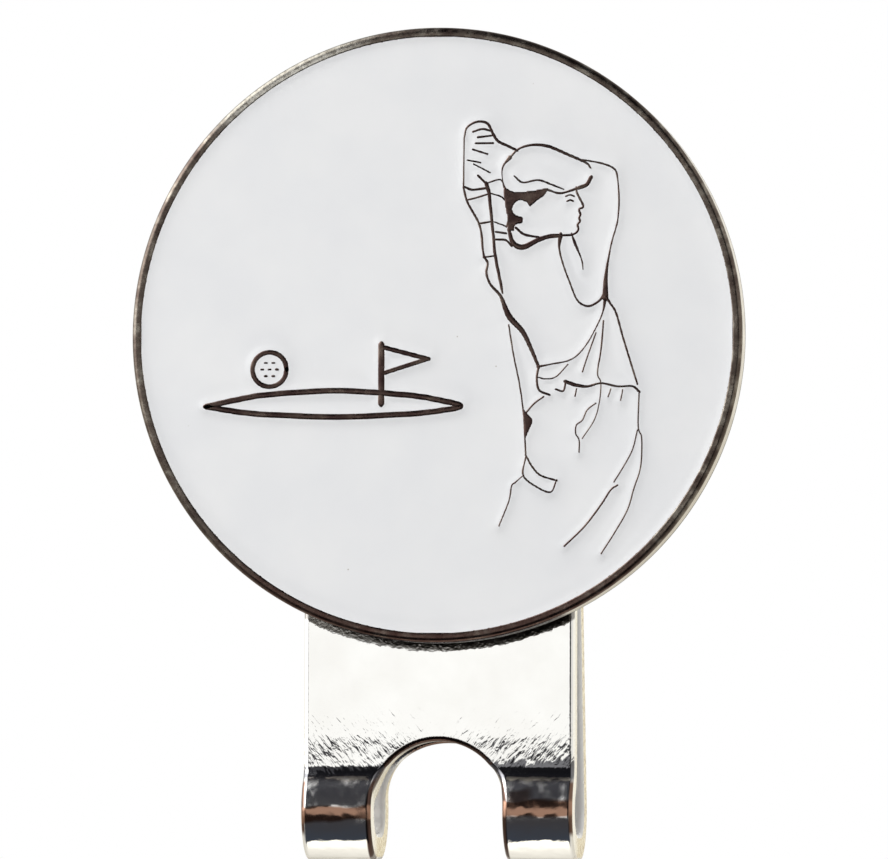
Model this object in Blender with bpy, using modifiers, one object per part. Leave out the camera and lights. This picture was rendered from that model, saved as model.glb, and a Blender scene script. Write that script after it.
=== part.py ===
"""Golf ball marker: an enamelled steel coin held by a magnet on a folded spring clip for a cap's brim.

Metres, +Z up, the coin's face towards -Y, +X to the viewer's right. The origin is the middle of the
bounding box's underside, so the fold of the clip stands on z = 0 and the coin's centre is on x = 0.
"""

import math

import bmesh
import bpy
from mathutils import Matrix, Vector

MM = 0.001

# Coin.
MARKER_DIAMETER = 25.0 * MM
MARKER_THICKNESS = 1.5 * MM
MARKER_CENTRE_Z = 21.4 * MM
RIM_WIDTH = 0.40 * MM
RECESS_DEPTH = 0.45 * MM
EDGE_CHAMFER = 0.10 * MM
ENAMEL_BELOW_RIM = 0.08 * MM
ENAMEL_GAP = 0.02 * MM
ROUND_STEPS = 96

# Magnet and the film that holds it in its seat.
MAGNET_DIAMETER = 9.5 * MM
MAGNET_STANDOFF = 1.0 * MM
SEAT_DEPTH = 0.40 * MM
SEAT_CLEARANCE = 0.08 * MM
ADHESIVE_THICKNESS = 0.06 * MM
REST_GAP = 0.02 * MM

# Clip: one strip of sheet folded at the bottom, the two straps of the fold left by an arched cut-out.
SHEET = 1.2 * MM
CLIP_WIDTH = 11.15 * MM
CLIP_OFFSET_X = -0.17 * MM
ARCH_WIDTH = 5.40 * MM
ARCH_TOP_Z = 4.94 * MM
NOSE_TURN = 40.0
NOSE_RADIUS = 1.4 * MM
FOLD_RADIUS = 1.5 * MM
FOLD_FLAT = 1.0 * MM
LEG_LEAN = 9.0
PINCH_GAP = 0.25 * MM
TIP_RADIUS = 4.0 * MM
TIP_TURN = 29.0
TIP_LENGTH = 1.5 * MM
TIP_CORNER = 2.0 * MM
FOLD_SPLIT = 0.05 * MM
DEGREES_PER_STEP = 7.5

ENAMEL_THICKNESS = RECESS_DEPTH - ENAMEL_BELOW_RIM - ENAMEL_GAP
FLOOR_W = MARKER_THICKNESS - RECESS_DEPTH
PLATE_TOP_Z = MARKER_CENTRE_Z + CLIP_WIDTH / 2
NOSE_TOP_Z = SHEET / 2 + FOLD_RADIUS + (NOSE_RADIUS + FOLD_RADIUS) * math.sin(math.radians(NOSE_TURN))
COIN_FACE_DEPTH = -(MAGNET_STANDOFF + REST_GAP + MARKER_THICKNESS)

# Raised metal lines on the coin, in millimetres from its centre: u to the right, v upwards.
# Each entry is (width, closed, points).
FIGURE_LINES = {
    "forearm": (0.18, True, [(3.1, 7.2), (3.4, 7.5), (4.2, 7.7), (5.4, 7.3), (6.3, 6.9), (6.3, 6.2),
                             (5.2, 5.8), (4.1, 5.8), (3.1, 5.8), (2.8, 6.5)]),
    "hands": (0.14, True, [(1.2, 8.0), (1.6, 8.7), (2.2, 8.6), (2.5, 7.9), (3.0, 7.5), (2.8, 6.5),
                           (2.4, 6.0), (1.3, 5.9), (1.2, 6.9)]),
    "back": (0.15, False, [(6.2, 6.9), (7.3, 6.7), (7.5, 6.1), (7.5, 4.9), (7.2, 3.6), (7.0, 1.7)]),
    "upper_arm": (0.15, False, [(5.2, 4.0), (5.2, 3.0), (5.7, 1.8), (6.3, 1.2), (7.0, 1.7)]),
    "collar": (0.22, False, [(2.5, 4.5), (3.1, 3.7), (3.9, 3.7), (5.2, 4.0)]),
    "face": (0.12, False, [(5.8, 6.0), (5.9, 5.6), (6.2, 5.2), (5.9, 4.9), (5.9, 4.3), (5.2, 4.0)]),
    "shaft": (0.16, False, [(2.4, 6.0), (2.5, 4.5), (2.6, 3.0), (2.8, 1.5)]),
    "grip_hand": (0.14, False, [(1.3, 5.9), (1.4, 5.3), (1.9, 4.2), (2.2, 2.6), (2.8, 1.5)]),
    "side": (0.28, False, [(2.8, 1.5), (3.5, 0.3), (4.0, -0.5), (4.3, -1.3)]),
    "club": (0.12, False, [(3.0, 0.9), (3.3, -0.9), (3.7, -3.2), (3.8, -4.9)]),
    "drape": (0.12, False, [(7.0, 1.7), (6.6, 0.3), (5.8, -0.9), (4.3, -1.3)]),
    "tail": (0.12, False, [(7.0, 1.7), (7.7, 0.0), (8.2, -2.0)]),
    "hem": (0.15, False, [(4.3, -1.3), (4.5, -2.3), (5.4, -1.9), (6.8, -2.0), (8.2, -2.0)]),
    "outer_leg": (0.12, False, [(8.2, -2.0), (8.4, -4.1), (8.2, -6.2), (6.9, -8.8)]),
    "inner_leg": (0.12, False, [(8.3, -3.9), (7.3, -6.0), (5.4, -8.5)]),
    "cuff": (0.16, True, [(3.8, -4.9), (4.3, -5.7), (5.0, -5.9), (4.8, -6.4), (4.2, -6.2), (3.7, -5.6)]),
    "front_leg": (0.12, False, [(3.7, -5.6), (3.2, -6.2), (2.7, -7.7)]),
}
EMBLEM_LINES = {
    "green": (0.22, True, [(-9.4, -2.9), (-6.8, -2.4), (-4.0, -2.3), (-1.2, -2.5), (1.0, -2.9),
                           (-1.2, -3.2), (-4.0, -3.3), (-6.8, -3.2)]),
    "flagstick": (0.22, False, [(-2.2, -2.8), (-2.2, -0.4)]),
    "ball": (0.20, True, [(-6.1, -1.4), (-6.8, -0.7), (-7.5, -1.4), (-6.8, -2.1)]),
}
PENNANT = (0.20, [(-2.2, -0.5), (-0.3, -1.0), (-2.2, -1.6)])
HAIR = [(2.9, 5.8), (4.6, 5.8), (4.2, 5.4), (3.8, 5.2), (3.4, 4.9), (3.5, 4.5), (3.2, 4.2), (3.0, 4.7)]
LINE_RESOLUTION = 3

# A point inside each pool of enamel that the lines close off. What lies outside them all is the field.
POOLS = {
    "enamel_field": (-4.0, 4.0),
    "enamel_forearm": (4.5, 6.7),
    "enamel_hands": (1.9, 7.2),
    "enamel_sleeve": (6.7, 4.2),
    "enamel_face": (4.9, 4.9),
    "enamel_shirt": (4.2, 1.9),
    "enamel_shirt_tail": (7.0, -0.9),
    "enamel_grip_hand": (2.2, 4.0),
    "enamel_cuff": (4.3, -5.95),
    "enamel_green": (-4.0, -2.8),
    "enamel_pennant": (-1.6, -1.0),
    "enamel_ball": (-6.8, -1.4),
}


# ------------------------------------------------------------------ scene, collections and materials

for leftover in list(bpy.data.objects):
    bpy.data.objects.remove(leftover, do_unlink=True)


def new_collection(name):
    made = bpy.data.collections.new(name)
    bpy.context.scene.collection.children.link(made)
    return made


PARTS = new_collection("golf_ball_marker")
CUTTERS = new_collection("cutters")
LINES = new_collection("coin_lines")
LINE_CUTTERS = new_collection("coin_line_cutters")
for helper_collection in (CUTTERS, LINES, LINE_CUTTERS):
    helper_collection.hide_render = True


def new_material(name, colour, roughness, metallic):
    made = bpy.data.materials.new(name)
    made.use_nodes = True
    made.diffuse_color = (*colour, 1.0)
    shader = made.node_tree.nodes["Principled BSDF"]
    shader.inputs["Base Color"].default_value = (*colour, 1.0)
    shader.inputs["Roughness"].default_value = roughness
    shader.inputs["Metallic"].default_value = metallic
    return made


NICKEL = new_material("nickel_plate", (0.78, 0.76, 0.72), 0.18, 1.0)
DARK_NICKEL = new_material("shaded_nickel", (0.42, 0.37, 0.33), 0.25, 1.0)
ENAMEL = new_material("white_enamel", (0.80, 0.81, 0.82), 0.12, 0.0)
MAGNET = new_material("plated_magnet", (0.55, 0.55, 0.56), 0.30, 1.0)
ADHESIVE = new_material("adhesive_film", (0.75, 0.70, 0.55), 0.40, 0.0)


# ------------------------------------------------------------------ general modelling helpers


def add_object(name, data, collection):
    made = bpy.data.objects.new(name, data)
    collection.objects.link(made)
    return made


def as_helper(obj):
    obj.hide_render = True
    obj.display_type = "WIRE"
    return obj


def to_mesh_object(obj, collection):
    """The object's evaluated mesh as a new object of the same name and place, with its caps welded."""
    name = obj.name
    bpy.context.view_layer.update()
    graph = bpy.context.evaluated_depsgraph_get()
    mesh = bpy.data.meshes.new_from_object(obj.evaluated_get(graph))
    place = obj.matrix_world.copy()
    bpy.data.objects.remove(obj, do_unlink=True)
    shell = bmesh.new()
    shell.from_mesh(mesh)
    bmesh.ops.remove_doubles(shell, verts=shell.verts, dist=1e-7)
    bmesh.ops.recalc_face_normals(shell, faces=shell.faces)
    shell.to_mesh(mesh)
    shell.free()
    made = add_object(name, mesh, collection)
    made.matrix_world = place
    return made


def flat_outline(name, points, half_thickness, collection, place):
    """A plate with the given closed outline, as thick as twice half_thickness about its local z = 0."""
    curve = bpy.data.curves.new(name, "CURVE")
    curve.dimensions = "2D"
    curve.fill_mode = "BOTH"
    curve.extrude = half_thickness
    spline = curve.splines.new("POLY")
    spline.points.add(len(points) - 1)
    for knot, (a, b) in zip(spline.points, points):
        knot.co = (a, b, 0.0, 1.0)
    spline.use_cyclic_u = True
    outline = add_object(name, curve, collection)
    outline.matrix_world = place
    return to_mesh_object(outline, collection)


def boolean(target, operation, operand):
    cut = target.modifiers.new(operation.lower(), "BOOLEAN")
    cut.operation = operation
    if isinstance(operand, bpy.types.Collection):
        cut.operand_type = "COLLECTION"
        cut.collection = operand
    else:
        cut.object = operand
    return cut


def disc(name, radius, thickness, collection, steps=ROUND_STEPS):
    """A cylinder on its local z = 0, standing up to z = thickness."""
    mesh = bpy.data.meshes.new(name)
    shell = bmesh.new()
    bmesh.ops.create_cone(
        shell, cap_ends=True, segments=steps, radius1=radius, radius2=radius, depth=thickness,
        matrix=Matrix.Translation((0.0, 0.0, thickness / 2)),
    )
    shell.to_mesh(mesh)
    shell.free()
    return add_object(name, mesh, collection)


def shade_round(obj, material):
    obj.data.materials.clear()
    obj.data.materials.append(material)
    obj.data.shade_smooth()
    obj.data.set_sharp_from_angle(angle=math.radians(30.0))


def arc(centre, radius, start, end, steps):
    """Points on a circle from the start to the end angle, in degrees."""
    angles = [math.radians(start + (end - start) * k / steps) for k in range(steps + 1)]
    return [(centre[0] + radius * math.cos(a), centre[1] + radius * math.sin(a)) for a in angles]


# ------------------------------------------------------------------ the strip's path


class StripPath:
    """The strip's middle line in the (y, z) plane. A heading of 0 points down and 90 points to +Y."""

    def __init__(self, y, z):
        self.y = y
        self.z = z
        self.heading = 0.0
        self.samples = [(y, z, 0.0)]

    def straight(self, length):
        turn = math.radians(self.heading)
        self.y += length * math.sin(turn)
        self.z -= length * math.cos(turn)
        self.samples.append((self.y, self.z, self.heading))

    def bend(self, radius, degrees):
        steps = max(1, round(abs(degrees) / DEGREES_PER_STEP))
        side = math.copysign(1.0, degrees)
        for _ in range(steps):
            before = math.radians(self.heading)
            self.heading += degrees / steps
            after = math.radians(self.heading)
            self.y += side * radius * (math.cos(before) - math.cos(after))
            self.z -= side * radius * (math.sin(after) - math.sin(before))
            self.samples.append((self.y, self.z, self.heading))

    def outline(self):
        """The strip's outline: down its outer face, then back along its inner face."""
        outer = []
        inner = []
        for y, z, heading in self.samples:
            turn = math.radians(heading)
            across = (math.cos(turn) * SHEET / 2, math.sin(turn) * SHEET / 2)
            outer.append((y - across[0], z - across[1]))
            inner.append((y + across[0], z + across[1]))
        return outer + inner[::-1]


def front_path():
    """From the plate's top down, forward into the nose of the fold and round to the middle of its flat."""
    path = StripPath(SHEET / 2, PLATE_TOP_Z)
    path.straight(PLATE_TOP_Z - NOSE_TOP_Z)
    path.bend(NOSE_RADIUS, -NOSE_TURN)
    path.bend(FOLD_RADIUS, NOSE_TURN + 90.0)
    path.straight((FOLD_FLAT - FOLD_SPLIT) / 2)
    return path


def leg_path(start):
    """From the middle of the fold's flat up the spring leg, past the pinch to the flared tip."""
    path = StripPath(start.y + FOLD_SPLIT, start.z)
    path.heading = 90.0
    path.samples = [(path.y, path.z, path.heading)]
    path.straight((FOLD_FLAT - FOLD_SPLIT) / 2)
    path.bend(FOLD_RADIUS, 90.0 + LEG_LEAN)
    lean = math.radians(LEG_LEAN)
    tip_swing = TIP_RADIUS * (1.0 - math.cos(lean))
    pinch_y = SHEET + PINCH_GAP + SHEET / 2
    path.straight((path.y - pinch_y - tip_swing) / math.sin(lean))
    path.bend(TIP_RADIUS, -TIP_TURN)
    path.straight(TIP_LENGTH)
    return path


FRONT = front_path()
LEG = leg_path(FRONT)
FOLD_Y = FRONT.y + FOLD_SPLIT / 2
DEEPEST_Y = max(y for y, _ in LEG.outline())
CENTRE_Y = (COIN_FACE_DEPTH + DEEPEST_Y) / 2
LEG_TIP_Z = max(z for _, z in LEG.outline())

# Side outlines are drawn in (y, z) and stand across X; front outlines are drawn in (x, z).
SIDE_PLACE = Matrix.Translation((CLIP_OFFSET_X, -CENTRE_Y, 0.0)) @ Matrix(
    ((0, 0, 1, 0), (1, 0, 0, 0), (0, 1, 0, 0), (0, 0, 0, 1))
)
FRONT_PLACE = Matrix.Translation((CLIP_OFFSET_X, 0.0, 0.0)) @ Matrix.Rotation(math.radians(90.0), 4, "X")


# ------------------------------------------------------------------ clip


def arch_outline(below):
    """The cut-out between the straps, from the right foot over the arch to the left foot."""
    radius = ARCH_WIDTH / 2
    return [(radius, -below)] + arc((0.0, ARCH_TOP_Z - radius), radius, 0.0, 180.0, 24) + [(-radius, -below)]


def trim_outline(name, top_points):
    """A block as wide as the clip with the arch cut out of it: what it shares with the strip is kept."""
    below = 1.0 * MM
    half = CLIP_WIDTH / 2
    points = [(half, -below)] + top_points + [(-half, -below)] + arch_outline(below)[::-1]
    depth = 6.0 * MM
    return as_helper(flat_outline(name, points, depth, CUTTERS, FRONT_PLACE))


def folded_strip(name, path, trim):
    strip = flat_outline(name, path.outline(), CLIP_WIDTH / 2 + 0.5 * MM, PARTS, SIDE_PLACE)
    boolean(strip, "INTERSECT", trim)
    return strip


def move_origin(obj, point):
    """Puts the object's origin at a world point and leaves its shape where it is."""
    place = obj.matrix_world.copy()
    obj.data.transform(Matrix.Translation(-Vector(point)) @ place)
    obj.matrix_world = Matrix.Translation(point)


def make_clip():
    half = CLIP_WIDTH / 2
    round_top = arc((0.0, MARKER_CENTRE_Z), half, 0.0, 180.0, 40)
    plate = folded_strip("clip_front_plate", FRONT, trim_outline("plate_trim", round_top))
    seat = as_helper(disc("magnet_seat", MAGNET_DIAMETER / 2 + SEAT_CLEARANCE, 2.0 * SEAT_DEPTH, CUTTERS, 64))
    seat.matrix_world = FRONT_PLACE @ Matrix.Translation((0.0, MARKER_CENTRE_Z, CENTRE_Y - SEAT_DEPTH))
    boolean(plate, "DIFFERENCE", seat)
    shade_round(plate, NICKEL)

    corner = TIP_CORNER
    tip = LEG_TIP_Z + 0.1 * MM
    tip_top = arc((half - corner, tip - corner), corner, 0.0, 90.0, 6)
    tip_top += arc((corner - half, tip - corner), corner, 90.0, 180.0, 6)
    leg = folded_strip("clip_spring_leg", LEG, trim_outline("leg_trim", tip_top))
    hinge = add_object("leg_hinge", None, PARTS)
    hinge.location = (CLIP_OFFSET_X, FOLD_Y - CENTRE_Y, 0.0)
    move_origin(leg, hinge.location)
    leg.parent = hinge
    leg.location = (0.0, 0.0, 0.0)
    shade_round(leg, NICKEL)


def make_magnet():
    film_back = CENTRE_Y - SEAT_DEPTH + REST_GAP
    film = disc("magnet_adhesive", MAGNET_DIAMETER / 2 - 0.05 * MM, ADHESIVE_THICKNESS, PARTS, 64)
    film.matrix_world = FRONT_PLACE @ Matrix.Translation((0.0, MARKER_CENTRE_Z, film_back))
    shade_round(film, ADHESIVE)

    magnet_back = film_back + ADHESIVE_THICKNESS + REST_GAP
    thickness = CENTRE_Y + MAGNET_STANDOFF - magnet_back
    magnet = disc("magnet", MAGNET_DIAMETER / 2, thickness, PARTS, 64)
    magnet.matrix_world = FRONT_PLACE @ Matrix.Translation((0.0, MARKER_CENTRE_Z, magnet_back))
    shade_round(magnet, MAGNET)


# ------------------------------------------------------------------ coin
# Everything on the coin is drawn in its own plane, u and v, and w rises from its back to its face.


def line_wall(name, width, closed, points, bottom, top, collection, straight=False):
    """A wall of constant width along a line, in millimetres, smoothed through its points unless straight."""
    curve = bpy.data.curves.new(name, "CURVE")
    curve.dimensions = "2D"
    curve.fill_mode = "NONE"
    curve.extrude = (top - bottom) / 2
    if straight:
        spline = curve.splines.new("POLY")
        spline.points.add(len(points) - 1)
        for knot, (u, v) in zip(spline.points, points):
            knot.co = (u * MM, v * MM, 0.0, 1.0)
    else:
        spline = curve.splines.new("BEZIER")
        spline.bezier_points.add(len(points) - 1)
        for knot, (u, v) in zip(spline.bezier_points, points):
            knot.co = (u * MM, v * MM, 0.0)
            knot.handle_left_type = "AUTO"
            knot.handle_right_type = "AUTO"
        spline.resolution_u = LINE_RESOLUTION
    spline.use_cyclic_u = closed
    ribbon = to_mesh_object(add_object(name, curve, collection), collection)
    ribbon.location.z = (bottom + top) / 2
    thicken = ribbon.modifiers.new("width", "SOLIDIFY")
    thicken.thickness = width
    thicken.offset = 0.0
    thicken.use_even_offset = True
    return as_helper(ribbon)


def draw_lines(prefix, collection, extra, bottom, top):
    """Every raised line, each wider by extra on both sides, as separate walls in the collection."""
    for name, (width, closed, points) in {**FIGURE_LINES, **EMBLEM_LINES}.items():
        straight = len(points) == 2
        line_wall(prefix + name, width * MM + 2 * extra, closed, points, bottom, top, collection, straight)
    width, points = PENNANT
    line_wall(prefix + "pennant", width * MM + 2 * extra, True, points, bottom, top, collection, True)
    line_wall(prefix + "hair_edge", 0.1 * MM + 2 * extra, True, HAIR, bottom, top, collection, True)
    filled = [(u * MM, v * MM) for u, v in HAIR]
    middle = Matrix.Translation((0.0, 0.0, (bottom + top) / 2))
    as_helper(flat_outline(prefix + "hair", filled, (top - bottom) / 2, collection, middle))


def make_blank():
    """The struck blank: a turned disc with its rim, then the raised lines joined to its floor."""
    radius = MARKER_DIAMETER / 2
    inner = radius - RIM_WIDTH
    profile = [
        (0.0, FLOOR_W),
        (inner, FLOOR_W),
        (inner, MARKER_THICKNESS),
        (radius - EDGE_CHAMFER, MARKER_THICKNESS),
        (radius, MARKER_THICKNESS - EDGE_CHAMFER),
        (radius, EDGE_CHAMFER),
        (radius - EDGE_CHAMFER, 0.0),
        (0.0, 0.0),
    ]
    mesh = bpy.data.meshes.new("marker_blank")
    mesh.from_pydata([(u, 0.0, w) for u, w in profile], [(k, k + 1) for k in range(len(profile) - 1)], [])
    blank = add_object("marker_blank", mesh, PARTS)
    turn = blank.modifiers.new("turned", "SCREW")
    turn.steps = ROUND_STEPS
    turn.render_steps = ROUND_STEPS
    turn.use_merge_vertices = True
    turn.merge_threshold = 1e-6
    boolean(blank, "UNION", LINES)
    blank = to_mesh_object(blank, PARTS)
    shade_round(blank, DARK_NICKEL)
    return blank


def islands(shell):
    """The separate closed bodies of a bmesh, each as a set of its vertices."""
    left = set(shell.verts)
    found = []
    while left:
        waiting = [left.pop()]
        body = set(waiting)
        while waiting:
            for edge in waiting.pop().link_edges:
                for vert in edge.verts:
                    if vert not in body:
                        body.add(vert)
                        left.discard(vert)
                        waiting.append(vert)
        found.append(body)
    return found


def pool_at(shell, bodies, u, v):
    """The body whose front face lies over the point (u, v) in millimetres."""
    point = Vector((u * MM, v * MM))
    for body in bodies:
        for face in shell.faces:
            if face.normal.z > 0.9 and face.verts[0] in body:
                corners = [vert.co.xy for vert in face.verts]
                sides = zip(corners, corners[1:] + corners[:1])
                crossings = sum(
                    (a.y > point.y) != (b.y > point.y)
                    and point.x < a.x + (point.y - a.y) * (b.x - a.x) / (b.y - a.y)
                    for a, b in sides
                )
                if crossings % 2:
                    return body
    raise ValueError(f"no enamel over ({u}, {v})")


def make_enamel():
    """One sheet of enamel with the lines cut out of it, parted into the pools that they close off."""
    sheet = disc("enamel_sheet", MARKER_DIAMETER / 2 - RIM_WIDTH - ENAMEL_GAP, ENAMEL_THICKNESS, CUTTERS)
    sheet.location.z = FLOOR_W + ENAMEL_GAP
    boolean(sheet, "DIFFERENCE", LINE_CUTTERS)
    sheet = to_mesh_object(sheet, CUTTERS)
    whole = bmesh.new()
    whole.from_mesh(sheet.data)
    whole.transform(sheet.matrix_world)
    bodies = islands(whole)
    pools = []
    for name, (u, v) in POOLS.items():
        keep = pool_at(whole, bodies, u, v)
        one = whole.copy()
        one.verts.ensure_lookup_table()
        kept = {vert.index for vert in keep}
        bmesh.ops.delete(one, geom=[vert for vert in one.verts if vert.index not in kept], context="VERTS")
        mesh = bpy.data.meshes.new(name)
        one.to_mesh(mesh)
        one.free()
        pool = add_object(name, mesh, PARTS)
        shade_round(pool, ENAMEL)
        pools.append(pool)
    whole.free()
    bpy.data.objects.remove(sheet, do_unlink=True)
    return pools


def make_coin():
    below_floor = FLOOR_W - 0.2 * MM
    draw_lines("line_", LINES, 0.0, below_floor, MARKER_THICKNESS)
    draw_lines("cut_", LINE_CUTTERS, ENAMEL_GAP, below_floor, MARKER_THICKNESS + 0.5 * MM)
    pieces = [make_blank()] + make_enamel()
    marker = add_object("marker", None, PARTS)
    marker.rotation_euler = (math.radians(90.0), 0.0, 0.0)
    marker.location = (0.0, -(MAGNET_STANDOFF + REST_GAP) - CENTRE_Y, MARKER_CENTRE_Z)
    for piece in pieces:
        piece.parent = marker


make_clip()
make_magnet()
make_coin()
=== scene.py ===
"""Looks of the golf ball marker: struck coin with soft enamel, magnet, and folded spring clip.

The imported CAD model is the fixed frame. Lengths in this script are millimetres; a mesh is put into
metres only when it is made. The coin is drawn in its own plane: u to the right and v upwards from its
centre, w from its back to its face.
"""

import math

import bpy
import numpy as np
from mathutils import Matrix, Vector, geometry


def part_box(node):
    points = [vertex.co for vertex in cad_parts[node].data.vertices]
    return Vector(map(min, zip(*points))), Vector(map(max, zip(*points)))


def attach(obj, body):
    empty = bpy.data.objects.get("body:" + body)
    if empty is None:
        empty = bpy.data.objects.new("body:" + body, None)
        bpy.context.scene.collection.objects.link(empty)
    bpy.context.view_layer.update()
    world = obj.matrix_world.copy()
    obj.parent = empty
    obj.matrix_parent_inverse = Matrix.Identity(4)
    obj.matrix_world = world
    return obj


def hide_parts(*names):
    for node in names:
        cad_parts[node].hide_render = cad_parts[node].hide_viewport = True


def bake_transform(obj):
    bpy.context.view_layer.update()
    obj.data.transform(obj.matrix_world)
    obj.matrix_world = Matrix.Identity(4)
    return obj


MM = 0.001

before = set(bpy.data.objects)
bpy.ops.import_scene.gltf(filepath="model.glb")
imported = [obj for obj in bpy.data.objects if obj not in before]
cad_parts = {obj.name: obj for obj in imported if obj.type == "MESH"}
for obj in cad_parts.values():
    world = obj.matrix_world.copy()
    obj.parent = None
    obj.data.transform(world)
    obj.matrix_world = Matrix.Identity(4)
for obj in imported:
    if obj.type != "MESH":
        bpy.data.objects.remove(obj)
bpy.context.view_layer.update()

# ---- places, from the CAD nodes


def box_mm(node):
    low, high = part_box(node)
    return Vector(low) / MM, Vector(high) / MM


COIN_LOW, COIN_HIGH = box_mm("marker_blank")
MAGNET_LOW, MAGNET_HIGH = box_mm("magnet")
GLUE_LOW, GLUE_HIGH = box_mm("magnet_adhesive")
PLATE_LOW, PLATE_HIGH = box_mm("clip_front_plate")

COIN_X = (COIN_LOW.x + COIN_HIGH.x) / 2
COIN_Z = (COIN_LOW.z + COIN_HIGH.z) / 2
COIN_RADIUS = (COIN_HIGH.x - COIN_LOW.x) / 2
COIN_THICKNESS = COIN_HIGH.y - COIN_LOW.y
COIN_BACK_Y = COIN_HIGH.y
CLIP_X = (PLATE_LOW.x + PLATE_HIGH.x) / 2
CLIP_HALF = (PLATE_HIGH.x - PLATE_LOW.x) / 2
PLATE_TOP_Z = PLATE_HIGH.z

# Coin.
RIM_WIDTH = 0.40
FLOOR_W = COIN_THICKNESS - 0.45
LINE_BASE_W = FLOOR_W - 0.10
ENAMEL_BASE_W = FLOOR_W + 0.01
ENAMEL_W = COIN_THICKNESS - 0.085
ENAMEL_SAG = 0.010
MENISCUS_RISE = 0.078
MENISCUS_REACH = 0.30
ENAMEL_CELL = 0.10
# How far the tops of lines and patches lie below the rim. Each top is a step lower than the one before,
# and after TOP_STEPS lines they start again.
LINE_SINK = 0.004
PATCH_SINK = 0.002
TOP_STEP = 0.001
TOP_STEPS = 9
LINE_SHOULDER = 0.055
# How far left of the magnet's axis the ring under the coin's rim is centred: the plate's dents there and its
# painted shadow and reflection of the coin.
RING_SHIFT = 0.17

# Sheet of the clip, and the path it is folded along.
SHEET = 1.2
EDGE_ROUND = 0.20
SEAT_RADIUS = 4.83
SEAT_DEPTH = 0.40
ARCH_RADIUS = 2.70
ARCH_TOP_Z = 4.94
NOSE_TURN = 40.0
NOSE_RADIUS = 1.4
FOLD_RADIUS = 1.5
FOLD_FLAT = 1.0
LEG_LEAN = 9.0
PINCH_GAP = 0.25
TIP_RADIUS = 4.0
TIP_TURN = 29.0
TIP_LENGTH = 1.5
TIP_CORNER = 2.0
STRAP_JOIN_Z = 2.6
# Where the inner face of the leaning leg would pass z = 0.
LEG_FACE_Y = 2.66
# Layers of faces between front and back around the sheet's edge.
WALL_LAYERS = 4

# Product view: degrees about the coin, millimetres, and radians for the camera's roll. The camera aims
# at a point to the right of the coin's centre and below it.
VIEW_AZIMUTH = 8.2
VIEW_ELEVATION = -3.0
VIEW_DISTANCE = 280.0
VIEW_WIDTH = 35.96
VIEW_ROLL = math.radians(0.21)
AIM_RIGHT = 0.38
AIM_DOWN = 3.87
SENSOR_WIDTH = 36.0
LAMP_DIRECTION = (-0.62, -0.35, 0.70)
FLOOR_REACH = 900.0
FLOOR_CELLS = 40

# Where a highlight is painted on the coin's rim, in degrees from +X towards +Z.
HIGHLIGHT_TURN = 120.0
# Colours on the plating and the rim: painted shade at the arch and on the leg, a painted shadow and
# reflection of the coin, painted dark and copper reflections on the bend, darker brown along the fold's
# side edges and darker red low on the rim.
PAINTED_EDGE_SHADE = (0.085, 0.050, 0.040)
FOLD_BROWN = (0.16, 0.095, 0.070)
PAINTED_ARCH_SHADE = (0.13, 0.085, 0.070)
LEG_SHADE = (0.14, 0.088, 0.070)
PAINTED_COIN_SHADOW = (0.16, 0.145, 0.13)
PAINTED_BEND_REFLECTION = (0.085, 0.085, 0.100)
PAINTED_COPPER_REFLECTION = (0.32, 0.185, 0.130)
RIM_RED = (0.085, 0.038, 0.032)
WHITE = (1.0, 1.0, 1.0)

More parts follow.
